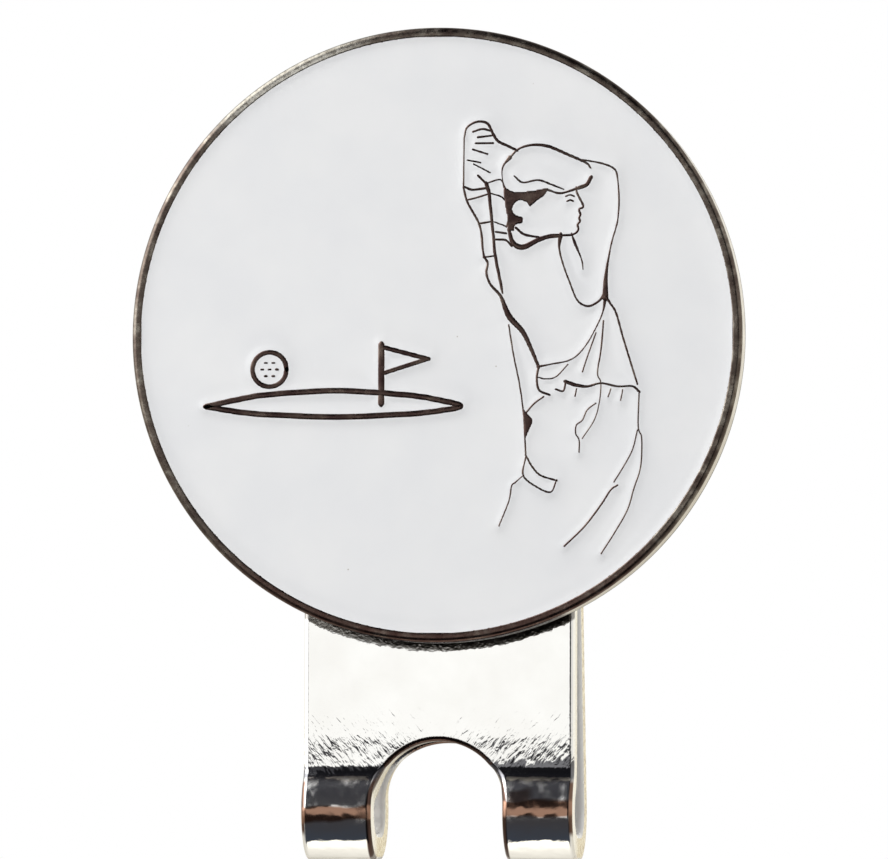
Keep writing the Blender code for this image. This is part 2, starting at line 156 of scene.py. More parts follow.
# Raised lines of the golfer: (width, points). One width, or one for each point.
FIGURE_LINES = {
    "fist": ((0.07, 0.10, 0.13, 0.15, 0.16, 0.16, 0.15, 0.15), [(1.16, 7.98), (1.28, 8.40), (1.70, 8.63),
        (2.11, 8.55), (2.33, 8.15), (2.55, 7.83), (2.95, 7.63), (3.31, 7.45)]),
    "fist_side": ((0.07, 0.06, 0.09), [(1.16, 7.98), (1.15, 7.12), (1.14, 5.95)]),
    "grip_side": ((0.12, 0.13, 0.14, 0.14, 0.15, 0.15, 0.15, 0.15, 0.18, 0.22, 0.20), [(1.14, 5.95),
        (1.31, 5.35), (1.75, 4.55), (1.88, 4.05), (1.97, 3.23), (2.14, 2.88), (2.09, 2.48), (2.25, 2.02),
        (2.65, 1.57), (2.84, 1.15), (2.98, 0.82)]),
    "finger_1": (0.14, [(1.55, 8.23), (1.91, 8.33), (2.25, 8.25)]),
    "finger_2": (0.15, [(1.75, 8.00), (2.31, 8.06)]),
    "finger_3": (0.16, [(1.67, 7.75), (2.31, 7.75)]),
    "finger_4": (0.15, [(1.55, 7.49), (2.08, 7.32)]),
    "finger_5": (0.15, [(1.34, 7.06), (1.79, 6.97)]),
    "finger_6": (0.14, [(1.59, 6.89), (2.19, 6.57)]),
    "finger_7": (0.12, [(1.74, 6.43), (2.08, 6.09)]),
    "glove_edge": (0.14, [(1.20, 5.97), (1.51, 5.86), (2.02, 5.92)]),
    "glove_crease": (0.10, [(1.34, 5.46), (1.68, 5.54), (2.08, 5.66)]),
    "wrist_crease": (0.12, [(1.79, 4.48), (2.21, 4.55)]),
    "cuff_crease": (0.12, [(1.99, 3.11), (2.43, 3.17)]),
    "shaft": ((0.24, 0.22, 0.20, 0.20, 0.19, 0.20, 0.19, 0.16), [(2.08, 6.09), (2.19, 5.69), (2.25, 5.11),
        (2.31, 4.54), (2.37, 3.97), (2.45, 3.17), (2.68, 2.02), (2.74, 1.70)]),
    "thumb": (0.14, [(2.08, 6.12), (2.65, 6.26), (2.82, 5.92)]),
    "knuckles": (0.13, [(2.31, 5.69), (2.71, 5.55), (2.95, 5.23), (3.00, 4.77), (2.91, 4.37)]),
    "knuckle_1": (0.11, [(2.42, 4.54), (2.88, 4.37)]),
    "knuckle_2": (0.11, [(2.48, 4.14), (2.88, 4.08)]),
    "knuckle_3": (0.12, [(2.48, 3.83), (2.88, 3.80), (3.11, 3.57)]),
    "forearm_top": ((0.12, 0.12, 0.15, 0.17, 0.18, 0.17, 0.15, 0.09), [(3.03, 7.15), (3.34, 7.47),
        (3.74, 7.63), (4.20, 7.66), (4.66, 7.58), (5.40, 7.26), (6.14, 6.92), (6.32, 6.72)]),
    "elbow": (0.22, [(6.34, 6.31), (6.17, 6.03), (5.85, 5.90)]),
    "forearm_under": ((0.24, 0.12, 0.05, 0.05, 0.08, 0.14, 0.16, 0.15, 0.15, 0.18), [(3.03, 7.15),
        (2.77, 6.83), (2.71, 6.49), (2.80, 6.03), (3.05, 5.75), (3.51, 5.66), (4.08, 5.74), (4.54, 5.83),
        (5.11, 5.69), (5.85, 5.90)]),
    "forearm_crease": ((0.08, 0.14, 0.14, 0.12, 0.06), [(3.22, 6.40), (3.57, 6.14), (4.20, 6.23),
        (4.77, 6.03), (5.23, 5.85)]),
    "back": ((0.14, 0.15, 0.15, 0.12, 0.10, 0.10, 0.12, 0.22, 0.34), [(6.03, 7.03), (6.77, 6.89),
        (7.29, 6.66), (7.43, 6.26), (7.49, 5.40), (7.43, 4.54), (7.17, 3.57), (6.97, 2.37), (6.94, 1.45)]),
    "upper_arm": ((0.28, 0.17, 0.15, 0.15, 0.15, 0.16, 0.17, 0.18, 0.22), [(5.11, 3.97), (5.06, 3.45),
        (5.23, 2.77), (5.51, 2.02), (5.74, 1.45), (5.97, 1.19), (6.32, 1.11), (6.72, 1.34), (6.94, 1.68)]),
    "sleeve_fold": ((0.12, 0.20, 0.12, 0.05), [(5.57, 4.03), (5.69, 3.68), (5.97, 3.00), (6.03, 2.60)]),
    "collar": ((0.18, 0.24, 0.27, 0.24, 0.22, 0.20), [(3.00, 4.23), (3.17, 3.70), (3.57, 3.51), (4.20, 3.80),
        (4.66, 3.94), (5.11, 3.97)]),
    "collar_edge": (0.14, [(3.30, 4.29), (3.63, 4.03), (4.20, 3.91)]),
    "face": (0.13, [(5.75, 5.90), (5.79, 5.67), (6.03, 5.17), (5.87, 5.03), (5.92, 4.82), (5.87, 4.69),
        (5.90, 4.55), (5.81, 4.41), (5.83, 4.19), (5.61, 4.01), (5.11, 3.97)]),
    "eye": (0.10, [(5.39, 5.37), (5.51, 5.41), (5.61, 5.37)]),
    "brow": (0.09, [(5.33, 5.57), (5.49, 5.62), (5.65, 5.57)]),
    "side": ((0.22, 0.31, 0.27, 0.23, 0.19), [(2.74, 1.37), (3.04, 0.69), (3.58, 0.08), (3.92, -0.60),
        (4.23, -1.34)]),
    "club": (0.09, [(3.01, 0.35), (3.21, -0.87), (3.45, -2.02), (3.62, -3.24), (3.72, -4.93)]),
    "waist": ((0.18, 0.14, 0.12, 0.10, 0.09, 0.09, 0.14, 0.24), [(4.23, -1.34), (4.74, -1.24), (5.41, -1.11),
        (5.82, -0.87), (6.22, -0.39), (6.56, 0.22), (6.83, 0.82), (6.95, 1.45)]),
    "belt": (0.09, [(4.23, -1.78), (4.53, -1.83), (4.94, -1.75), (5.41, -1.27)]),
    "buckle": (0.12, [(4.23, -1.34), (4.16, -1.82), (4.26, -2.29), (4.67, -2.48)]),
    "buckle_edge": (0.10, [(4.94, -2.26), (5.24, -2.32), (5.34, -1.95)]),
    "hem": ((0.20, 0.20, 0.16, 0.11, 0.12, 0.12, 0.15), [(5.34, -1.95), (5.75, -2.09), (6.22, -2.15),
        (6.77, -2.02), (7.44, -2.15), (8.05, -2.15), (8.32, -2.36)]),
    "tail": ((0.22, 0.14, 0.13, 0.11, 0.11, 0.10), [(6.97, 1.45), (7.15, 1.20), (7.38, 0.82), (7.65, -0.12),
        (7.92, -1.00), (8.25, -2.05)]),
    "tail_fold": ((0.10, 0.09, 0.07, 0.06, 0.055, 0.055, 0.055), [(6.87, 0.49), (6.77, -0.67), (6.63, -1.61),
        (6.77, -2.02), (6.70, -2.83), (6.50, -3.51), (6.02, -4.25)]),
    "shirt_fold": (0.075, [(6.56, 0.01), (6.22, -0.94), (6.02, -1.55)]),
    "loop_1": (0.08, [(5.78, -2.25), (5.72, -2.53)]),
    "loop_2": (0.08, [(7.17, -2.27), (7.07, -2.56)]),
    "loop_3": (0.08, [(7.65, -2.30), (7.58, -2.70)]),
    "hip": (0.085, [(4.43, -2.56), (4.06, -2.83), (3.75, -3.17)]),
    "outer_leg": (0.065, [(8.32, -2.43), (8.29, -3.78), (8.43, -4.25), (8.39, -5.40), (8.12, -6.28),
        (7.85, -7.16), (7.31, -8.11), (6.80, -8.90)]),
    "knee_fold": (0.06, [(8.26, -3.92), (8.05, -4.73), (7.65, -5.47), (7.31, -6.01)]),
    "inner_leg": (0.10, [(7.44, -6.15), (7.17, -6.35), (6.77, -6.96), (6.09, -7.84), (5.31, -8.59)]),
    "pocket": (0.07, [(6.56, -2.83), (6.22, -3.10), (6.02, -3.51), (5.78, -3.71), (5.75, -4.05),
        (5.89, -4.32), (5.89, -4.80)]),
    "cuff_top": (0.12, [(3.72, -4.93), (3.99, -5.40), (4.33, -5.74), (4.97, -5.95)]),
    "cuff_bottom": (0.12, [(4.97, -5.95), (4.74, -6.41), (4.19, -6.22), (3.62, -5.74), (3.72, -5.00)]),
    "front_leg": (0.085, [(3.62, -5.74), (3.31, -6.01), (3.14, -6.18), (3.04, -6.76), (2.64, -7.77)]),
}
FIGURE_PATCHES = {
    "hair": [(2.78, 5.96), (3.20, 5.80), (3.85, 5.82), (4.62, 5.92), (4.46, 5.60), (4.22, 5.42), (3.97, 5.22),
        (3.83, 5.12), (3.70, 5.32), (3.38, 5.38), (3.17, 5.12), (3.26, 4.86), (3.58, 4.74), (3.56, 4.48),
        (3.28, 4.40), (3.22, 4.16), (2.95, 4.22), (2.90, 4.75), (2.80, 5.35)],
    "club_heel": [(3.58, -3.02), (3.80, -3.22), (4.02, -3.52), (3.88, -3.88), (3.70, -4.26), (3.60, -3.65)],
}

# The green with its flag and ball.
EMBLEM_LINES = {
    "green": (0.28, [(-9.40, -2.90), (-8.10, -2.62), (-6.80, -2.42), (-4.00, -2.28), (-1.20, -2.46),
        (0.10, -2.66), (1.05, -2.92), (0.10, -3.12), (-1.20, -3.24), (-4.00, -3.34), (-6.80, -3.24),
        (-8.10, -3.12), (-9.40, -2.90)]),
    "flagstick": (0.30, [(-2.20, -2.80), (-2.20, -0.42)]),
    "pennant_top": (0.24, [(-2.20, -0.50), (-0.30, -1.00)]),
    "pennant_bottom": (0.24, [(-0.30, -1.00), (-2.20, -1.60)]),
    "ball": (0.26, [(-6.80 + 0.70 * math.cos(a), -1.40 + 0.70 * math.sin(a))
                    for a in (math.tau * k / 16 for k in range(17))]),
    **{f"dimple_{k}": (0.13, [(-6.80 + u, -1.40 + v), (-6.77 + u, -1.40 + v)])
       for k, (u, v) in enumerate(((-0.17, 0.27), (0.14, 0.27), (-0.32, 0.0), (-0.015, 0.0), (0.29, 0.0),
                                   (-0.17, -0.27), (0.14, -0.27)))},
}

# Outlines of the enamel pools, along the middle of the lines that close them off.
POOLS = {
    "enamel_forearm": [(3.03, 7.15), (3.34, 7.47), (4.20, 7.66), (5.40, 7.26), (6.32, 6.72), (6.34, 6.31),
        (5.85, 5.90), (5.11, 5.69), (4.54, 5.83), (3.51, 5.66), (2.80, 6.03), (2.77, 6.83)],
    "enamel_hands": [(1.16, 7.98), (1.28, 8.40), (1.70, 8.63), (2.11, 8.55), (2.55, 7.83), (3.05, 7.50),
        (3.03, 7.15), (2.77, 6.83), (2.71, 6.49), (2.65, 6.26), (2.08, 6.12), (2.02, 5.92), (1.51, 5.86),
        (1.14, 5.95)],
    "enamel_sleeve": [(5.75, 5.90), (6.17, 6.03), (6.34, 6.31), (6.32, 6.72), (6.03, 7.03), (7.29, 6.66),
        (7.49, 5.40), (7.17, 3.57), (6.95, 1.55), (6.72, 1.34), (6.32, 1.11), (5.97, 1.19), (5.51, 2.02),
        (5.23, 2.77), (5.06, 3.45), (5.11, 3.97), (5.83, 4.19), (5.92, 4.82), (6.03, 5.17)],
    "enamel_face": [(5.75, 5.90), (6.03, 5.17), (5.92, 4.82), (5.83, 4.19), (5.11, 3.97), (4.66, 3.94),
        (4.20, 3.80), (3.57, 3.51), (3.22, 4.19), (3.55, 4.55), (3.25, 5.05), (3.75, 5.35), (4.55, 5.83),
        (5.11, 5.69)],
    "enamel_shirt": [(3.00, 4.23), (3.17, 3.70), (3.57, 3.51), (4.66, 3.94), (5.11, 3.97), (5.06, 3.45),
        (5.51, 2.02), (5.97, 1.19), (6.32, 1.11), (6.94, 1.55), (6.56, 0.22), (5.82, -0.87), (4.74, -1.24),
        (4.23, -1.34), (3.58, 0.08), (2.74, 1.37), (2.45, 3.17), (2.55, 4.15)],
    "enamel_shirt_tail": [(6.97, 1.45), (7.38, 0.82), (7.92, -1.00), (8.25, -2.05), (7.44, -2.15),
        (6.77, -2.02), (6.22, -2.15), (5.34, -1.95), (5.24, -2.32), (4.26, -2.29), (4.23, -1.34),
        (5.41, -1.11), (6.22, -0.39), (6.83, 0.82)],
    "enamel_grip_hand": [(1.14, 5.95), (1.51, 5.86), (2.02, 5.92), (2.19, 5.69), (2.31, 4.54), (2.45, 3.17),
        (2.74, 1.70), (2.25, 2.02), (2.09, 2.48), (1.88, 4.05), (1.75, 4.55), (1.31, 5.35)],
    "enamel_cuff": [(3.72, -4.93), (3.99, -5.40), (4.33, -5.74), (4.97, -5.95), (4.74, -6.41), (4.19, -6.22),
        (3.62, -5.74)],
    "enamel_green": EMBLEM_LINES["green"][1][:-1],
    "enamel_pennant": [(-2.20, -0.50), (-0.30, -1.00), (-2.20, -1.60)],
    "enamel_ball": EMBLEM_LINES["ball"][1][:-1],
}


# ---- shader nodes


def node(tree, kind, inputs=None, **settings):
    """A new shader node; an input is given a value or the socket that feeds it."""
    made = tree.nodes.new("ShaderNode" + kind)
    for name, value in settings.items():
        setattr(made, name, value)
    for name, value in (inputs or {}).items():
        if isinstance(value, bpy.types.NodeSocket):
            tree.links.new(value, made.inputs[name])
        else:
            made.inputs[name].default_value = value
    return made


# Each of the following takes a socket first and adds its nodes to that socket's tree.


def maths(operation, first, *others):
    inputs = dict(enumerate((first, *others)))
    return node(first.id_data, "Math", inputs, operation=operation).outputs["Value"]


def vectors(operation, first, *others, output="Vector"):
    inputs = dict(enumerate((first, *others)))
    return node(first.id_data, "VectorMath", inputs, operation=operation).outputs[output]


def times(first, *others):
    for other in others:
        first = maths("MULTIPLY", first, other)
    return first


def mapped(value, low, high, below=0.0, above=1.0, kind="LINEAR"):
    """A value that goes from below to above while another goes from low to high."""
    inputs = {"Value": value, "From Min": low, "From Max": high, "To Min": below, "To Max": above}
    return node(value.id_data, "MapRange", inputs, interpolation_type=kind).outputs["Result"]


def eased(value, low, high, below=0.0, above=1.0):
    return mapped(value, low, high, below, above, "SMOOTHSTEP")


def window(value, rise, full, fall, gone, top=1.0):
    """Goes smoothly up from rise to full and down again from fall to gone."""
    return times(eased(value, rise, full), eased(value, fall, gone, top, 0.0))


def between(value, low, high, below=0.0, above=1.0):
    """As eased, in millimetres."""
    return eased(value, low * MM, high * MM, below, above)


def band(value, rise, full, fall, gone, top=1.0):
    """As window, in millimetres."""
    return window(value, rise * MM, full * MM, fall * MM, gone * MM, top)


def jagged(value, pattern, size, low=0.0, high=1.0):
    """A length made uneven by a pattern, by up to size millimetres each way."""
    return maths("ADD", value, mapped(pattern, low, high, -size * MM, size * MM))


def ramp(factor, *stops):
    """A colour ramp through (position, colour) stops; a colour is one grey value or three."""
    made = node(factor.id_data, "ValToRGB", {"Fac": factor})
    elements = made.color_ramp.elements
    while len(elements) < len(stops):
        elements.new(0.5)
    for element, (position, colour) in zip(elements, stops):
        element.position = position
        element.color = (*colour, 1.0) if isinstance(colour, tuple) else (colour, colour, colour, 1.0)
    return made.outputs["Color"]


def mixed(share, *colours):
    """The first colour where the share is 0 and the second where it is 1."""
    first, second = ((*colour, 1.0) if isinstance(colour, tuple) else colour for colour in colours)
    inputs = {"Fac": share, "Color1": first, "Color2": second}
    return node(share.id_data, "MixRGB", inputs).outputs["Color"]


def noise(where, size, detail=2.0, roughness=0.5, distortion=0.0):
    """Noise whose features are about size millimetres across."""
    inputs = {"Vector": where, "Scale": 1.0 / (size * MM), "Detail": detail, "Roughness": roughness,
              "Distortion": distortion}
    return node(where.id_data, "TexNoise", inputs).outputs["Fac"]


def bump(height, depth, under=None):
    """Bumps of the given depth in millimetres, on top of the bumps under them."""
    inputs = {"Height": height, "Distance": depth * MM, "Strength": 1.0}
    if under is not None:
        inputs["Normal"] = under
    return node(height.id_data, "Bump", inputs).outputs["Normal"]


def stretched(where, turn, longer):
    """Coordinates turned about Y by some degrees, for a pattern that is drawn out along each axis."""
    inputs = {"Vector": where, "Rotation": (0.0, math.radians(turn), 0.0), "Scale": longer}
    return node(where.id_data, "Mapping", inputs, vector_type="TEXTURE").outputs["Vector"]


def axes(vector):
    return node(vector.id_data, "SeparateXYZ", {"Vector": vector}).outputs[:]


def distance_from_axis(where, x):
    """How far a point is from the line along Y at x millimetres and at the coin's height, and its offset."""
    offset = vectors("SUBTRACT", where, (x * MM, 0.0, COIN_Z * MM))
    in_plane = vectors("MULTIPLY", offset, (1.0, 0.0, 1.0))
    return vectors("LENGTH", in_plane, output="Value"), offset


def outside_arch(across, height):
    """How far a point of the clip is outside the outline of its arch, seen from the front."""
    beside = maths("SUBTRACT", across, CLIP_X * MM)
    over = maths("MAXIMUM", maths("SUBTRACT", height, (ARCH_TOP_Z - ARCH_RADIUS) * MM), 0.0)
    outward = node(across.id_data, "CombineXYZ", {"X": beside, "Y": over}).outputs["Vector"]
    return maths("SUBTRACT", vectors("LENGTH", outward, output="Value"), ARCH_RADIUS * MM)


# ---- materials


def new_material(name):
    made = bpy.data.materials.new(name)
    made.use_nodes = True
    tree = made.node_tree
    return made, tree.nodes["Principled BSDF"], tree.nodes.new("ShaderNodeTexCoord").outputs["Object"]


def finish_material(shader, colour, roughness, normal, metallic):
    """Links the sockets to the shader. How metallic it is may be a number or a socket."""
    links = shader.id_data.links
    links.new(colour, shader.inputs["Base Color"])
    links.new(roughness, shader.inputs["Roughness"])
    links.new(normal, shader.inputs["Normal"])
    if isinstance(metallic, bpy.types.NodeSocket):
        links.new(metallic, shader.inputs["Metallic"])
    else:
        shader.inputs["Metallic"].default_value = metallic


def make_simple(name, grain, tint, gloss, metallic=1.0, lapped=None):
    """A material with a noise each for its grain (size, detail, roughness, depth), its tint (size,
    detail, dark, light) and its gloss (size, smooth, rough). The grain may be drawn out by lapping."""
    made, shader, where = new_material(name)
    size, detail, roughness, depth = grain
    drawn = where if lapped is None else stretched(where, lapped, (20.0, 1.0, 1.0))
    bumps = bump(noise(drawn, size, detail, roughness), depth)
    size, detail, dark, light = tint
    colour = ramp(noise(where, size, detail), (0.30, dark), (0.70, light))
    size, smooth, rough = gloss
    finish_material(shader, colour, ramp(noise(where, size), (0.30, smooth), (0.75, rough)), bumps, metallic)
    return made


def make_sheet_nickel():
    """Bright plating over rolled sheet. The flat is nearly a mirror with fine slanting ripples that grow
    where it starts to bend; the fold is matt from the die, with a painted copper reflection on its front and
    a painted dark reflection where the plate bends into it. Painted shade lies along the arch's edge and on
    the leg's inner face, and the fold's side edges are darker brown. The coin's rim has dented a ring around
    the magnet, where a painted shadow and reflection of the coin grey the plate."""
    made, shader, where = new_material("sheet_nickel")
    across, deep, height = axes(where)
    on_front = between(deep, 0.0, 0.4, 1.0, 0.0)
    outside = outside_arch(across, height)
    off_middle = maths("ABSOLUTE", maths("SUBTRACT", across, CLIP_X * MM))

    left, right = (noise(stretched(where, turn, (1.0, 1.0, 3.2)), 0.15, 2.0, 0.5, 0.4)
                   for turn in (-36.0, 36.0))
    slanted = mixed(between(across, -1.2, 1.2), left, right)
    bent = times(between(height, 7.2, 4.0, 0.16, 1.0), between(height, 3.70, 4.05, 0.10, 1.0))
    waves = bump(times(slanted, bent), 0.021)
    swell = bump(times(noise(where, 1.1, 2.0, 0.5), between(height, 5.2, 4.1, 0.08, 1.0)), 0.065, waves)
    peel = bump(noise(where, 0.30, 2.0, 0.55), 0.0012, swell)
    from_axis = jagged(distance_from_axis(where, COIN_X - RING_SHIFT)[0], noise(where, 0.22, 3.0, 0.6), 0.12)
    ring = mapped(from_axis, (COIN_RADIUS - 0.60) * MM, (COIN_RADIUS + 0.30) * MM)
    marks = bump(times(ring, between(deep, -0.5, -0.1, 1.0, 0.0)), 0.075, peel)

    colour = ramp(noise(where, 1.6, 3.0), (0.30, (0.92, 0.91, 0.89)), (0.70, (0.97, 0.965, 0.95)))
    # Painted shadow and reflection of the coin: the plate's front is greyed in a ring just under the coin's
    # rim.
    coin_shadow = band(from_axis, COIN_RADIUS - 0.9, COIN_RADIUS - 0.5, COIN_RADIUS + 0.20, COIN_RADIUS + 0.30)
    colour = mixed(times(coin_shadow, between(deep, -0.5, -0.1, 0.80, 0.0)), colour, PAINTED_COIN_SHADOW)
    lean = maths("MULTIPLY_ADD", height, math.tan(math.radians(LEG_LEAN)), deep)
    inner_side = times(between(lean, LEG_FACE_Y + 0.25, LEG_FACE_Y + 0.45, 1.0, 0.0), between(deep, 0.4, 0.6))
    shaded = times(inner_side, between(outside, 0.9, 1.5, 1.0, 0.0), between(height, 4.2, 4.6))
    colour = mixed(shaded, colour, LEG_SHADE)
    # Painted shade on the plate's front along the rounded edge of the arch.
    colour = mixed(times(between(outside, 0.16, 0.23, 1.0, 0.0), on_front), colour, PAINTED_EDGE_SHADE)
    fold_edge = times(on_front, between(off_middle, CLIP_HALF - 0.18, CLIP_HALF - 0.12),
                      band(height, 1.0, 1.3, 3.2, 3.5))
    colour = mixed(fold_edge, colour, FOLD_BROWN)
    # Painted dark reflection on the front where the plate bends into the nose, reaching higher on the right.
    bend_top = jagged(maths("MULTIPLY_ADD", across, -0.05, height), slanted, 0.22, 0.3, 0.7)
    bend = times(between(bend_top, 3.92, 4.06, 1.0, 0.0), between(height, 3.2, 3.5))
    colour = mixed(times(bend, between(deep, 0.0, 0.4, 0.9, 0.0)), colour, PAINTED_BEND_REFLECTION)
    # Painted copper reflection on the front of the fold: a slanting band, with a taller patch on the right.
    streaks = noise(stretched(where, 0.0, (2.0, 1.0, 1.0)), 0.7, 2.0)
    level = jagged(maths("MULTIPLY_ADD", across, -0.030, height), streaks, 0.20)
    patch = times(band(across, 2.65, 2.95, 3.5, 3.9), band(level, 1.9, 2.1, 2.75, 3.0, 0.75))
    copper_reflection = maths("MAXIMUM", band(level, 1.70, 1.88, 2.34, 2.50), patch)
    colour = mixed(times(copper_reflection, on_front), colour, PAINTED_COPPER_REFLECTION)

    matt = times(between(height, 4.1, 3.2), between(height, 1.1, 1.6))
    smooth = ramp(noise(where, 0.5, 3.0), (0.35, 0.035), (0.70, 0.085))
    spots = ramp(noise(where, 0.75, 2.0), (0.50, 0.125), (0.70, 0.30))
    near_arch = times(between(outside, 0.7, 1.0, 1.0, 0.0), between(height, 3.8, 4.2, 1.0, 0.0))
    near_edge = maths("MAXIMUM", near_arch, between(off_middle, CLIP_HALF - 1.0, CLIP_HALF - 0.7))
    metallic = maths("MULTIPLY_ADD", times(inner_side, near_edge), -0.85, 1.0)
    finish_material(shader, colour, mixed(matt, smooth, spots), marks, metallic)
    return made


def make_sheared_nickel():
    """Plating over a punched edge: smooth and pale on the plate, with painted shade on the arch's top wall
    and along its front edge, and torn and golden on the leg behind it."""
    made, shader, where = new_material("sheared_nickel")
    across, deep, height = axes(where)
    torn = mapped(deep, (PLATE_LOW.y + 1.0) * MM, (PLATE_LOW.y + 2.2) * MM, 0.12)
    normal = bump(times(noise(where, 0.16, 4.0, 0.65), torn), 0.026)
    golden = ramp(noise(where, 0.22, 3.0, 0.6), (0.34, (0.52, 0.40, 0.22)), (0.50, (0.86, 0.76, 0.52)),
                  (0.68, (1.0, 0.95, 0.78)))
    outside = outside_arch(across, height)
    # Painted shade on the top wall of the arch.
    arch_wall_shade = times(between(outside, 0.5, 0.8, 1.0, 0.0), between(height, 4.2, 4.7))
    colour = mixed(arch_wall_shade, mixed(torn, (1.0, 0.985, 0.93), golden), PAINTED_ARCH_SHADE)
    # Painted shade along the arch's cut edge at the front.
    arch_edge = times(band(outside, 0.012, 0.040, 0.5, 0.8), between(deep, -0.3, 0.1, 1.0, 0.0))
    colour = mixed(arch_edge, colour, PAINTED_EDGE_SHADE)
    roughness = ramp(noise(where, 0.18, 2.0), (0.30, 0.20), (0.75, 0.38))
    finish_material(shader, colour, roughness, normal, 1.0)
    return made


def make_struck_nickel(name, hollow, flat, worn, patch):
    """Raised metal of the coin's face: dark antique plating, with patches worn bright by wear, a painted
    highlight on the rim's upper left and darker red towards the bottom.
    """
    made, shader, where = new_material(name)
    grain = bump(noise(where, 0.12, 3.0, 0.6), 0.006)
    colour = ramp(noise(where, patch, 4.0, 0.55), (0.34, hollow), (0.54, flat), (0.74, worn))
    radius, offset = distance_from_axis(where, COIN_X)
    turn = math.radians(HIGHLIGHT_TURN)
    towards = vectors("DOT_PRODUCT", offset, (math.cos(turn), 0.0, math.sin(turn)), output="Value")
    # Painted highlight: a mottled bright sector on the rim's upper left, brighter on its flat than on its
    # outer shoulder.
    highlight_mottle = noise(where, 0.20, 3.0, 0.6)
    painted_highlight = mixed(between(radius, COIN_RADIUS - 0.26, COIN_RADIUS - 0.12),
                      ramp(highlight_mottle, (0.36, (0.42, 0.39, 0.34)), (0.58, (0.90, 0.87, 0.79))),
                      ramp(highlight_mottle, (0.36, (0.13, 0.12, 0.10)), (0.58, (0.27, 0.255, 0.22))))
    bright = between(towards, 0.925 * COIN_RADIUS, 0.975 * COIN_RADIUS, 0.0, 0.9)
    low = between(axes(offset)[2], -0.6 * COIN_RADIUS, -0.9 * COIN_RADIUS, 0.0, 0.6)
    colour = mixed(low, mixed(bright, colour, painted_highlight), RIM_RED)
    finish_material(shader, colour, ramp(noise(where, 0.30, 2.0), (0.30, 0.20), (0.75, 0.38)), grain, 1.0)
    return made


def make_enamel_material():
    """Baked soft enamel: glossy off-white with soft unevenness and a few specks of dust."""
    made, shader, where = new_material("white_soft_enamel")
    skin = bump(noise(where, 0.16, 2.0), 0.0006, bump(noise(where, 2.4, 2.0), 0.010))
    tint = ramp(noise(where, 3.2, 3.0), (0.35, (0.795, 0.803, 0.818)), (0.65, (0.825, 0.830, 0.838)))
    cells = node(where.id_data, "TexVoronoi", {"Vector": where, "Scale": 1.0 / (1.9 * MM), "Randomness": 1.0})
    speck = ramp(cells.outputs["Distance"], (0.010, 1.0), (0.022, 0.0))
    roughness = ramp(noise(where, 0.9, 2.0), (0.35, 0.10), (0.70, 0.16))
    finish_material(shader, mixed(speck, tint, (0.50, 0.47, 0.44)), roughness, skin, 0.0)
    shader.inputs["IOR"].default_value = 1.52
    return made


SHEET_NICKEL = make_sheet_nickel()
SHEARED_NICKEL = make_sheared_nickel()
LINE_NICKEL = make_struck_nickel("line_nickel", (0.062, 0.036, 0.034), (0.105, 0.070, 0.060),
                                 (0.19, 0.145, 0.12), 0.8)
RIM_NICKEL = make_struck_nickel("rim_nickel", (0.080, 0.058, 0.050), (0.150, 0.122, 0.102),
                                (0.34, 0.31, 0.265), 0.55)
# The coin's side and back are tumbled.
EDGE_NICKEL = make_simple("edge_nickel", (0.10, 3.0, 0.6, 0.006),
                          (0.6, 3.0, (0.70, 0.655, 0.59), (0.90, 0.865, 0.80)), (0.4, 0.26, 0.42))
BACK_NICKEL = make_simple("back_nickel", (0.10, 3.0, 0.6, 0.008),
                          (0.6, 3.0, (0.17, 0.162, 0.150), (0.25, 0.240, 0.222)), (0.4, 0.26, 0.42))
ENAMEL = make_enamel_material()
MAGNET_PLATING = make_simple("plated_magnet", (0.05, 2.0, 0.5, 0.003),
                             (0.9, 3.0, (0.50, 0.50, 0.51), (0.66, 0.66, 0.67)), (0.5, 0.24, 0.36),
                             lapped=20.0)
GLUE = make_simple("cured_glue", (0.35, 2.0, 0.5, 0.020),
                   (0.7, 2.0, (0.50, 0.42, 0.24), (0.68, 0.60, 0.40)), (0.5, 0.18, 0.35), metallic=0.0)


# ---- making mesh pieces


def add_object(name, data):
    made = bpy.data.objects.new(name, data)
    bpy.context.scene.collection.objects.link(made)
    return made


def add_piece(name, points, faces, materials, face_materials=None, sharp=35.0):
    """A piece from world points in millimetres."""
    mesh = bpy.data.meshes.new(name)
    mesh.from_pydata((np.asarray(points, float) * MM).tolist(), [], faces)
    for material in materials:
        mesh.materials.append(material)
    if face_materials is not None:
        mesh.polygons.foreach_set("material_index", np.asarray(face_materials, np.int32))
    mesh.update()
    mesh.shade_smooth()
    mesh.set_sharp_from_angle(angle=math.radians(sharp))
    return add_object(name, mesh)


def settle(piece, body, cad_node=None):
    """Attaches a piece to the body it rides on, if one is given, and hides the CAD node it stands for."""
    if body is not None:
        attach(piece, body)
    if cad_node is not None:
        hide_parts(cad_node)


def on_coin(uvw):
    """World points of (u, v, w) points of the coin."""
    uvw = np.asarray(uvw, float)
    return np.column_stack((COIN_X + uvw[:, 0], COIN_BACK_Y - uvw[:, 2], COIN_Z + uvw[:, 1]))


def smooth_line(points, spacing, ring=False):
    """Catmull-Rom through the points (any number of columns), sampled about every spacing."""
    knots = np.asarray(points, float)
    if ring:
        knots = np.vstack((knots[-1], knots, knots[:2]))
    else:
        knots = np.vstack((2 * knots[0] - knots[1], knots, 2 * knots[-1] - knots[-2]))
    line = []
    for a, b, c, d in zip(knots, knots[1:], knots[2:], knots[3:]):
        steps = max(2, math.ceil(np.linalg.norm((c - b)[:2]) / spacing))
        t = (np.arange(steps) / steps)[:, None]
        line.append(0.5 * (2 * b + (c - a) * t + (2 * a - 5 * b + 4 * c - d) * t**2
                           + (3 * b - a - 3 * c + d) * t**3))
    if not ring:
        line.append(knots[-2][None, :])
    return np.vstack(line)


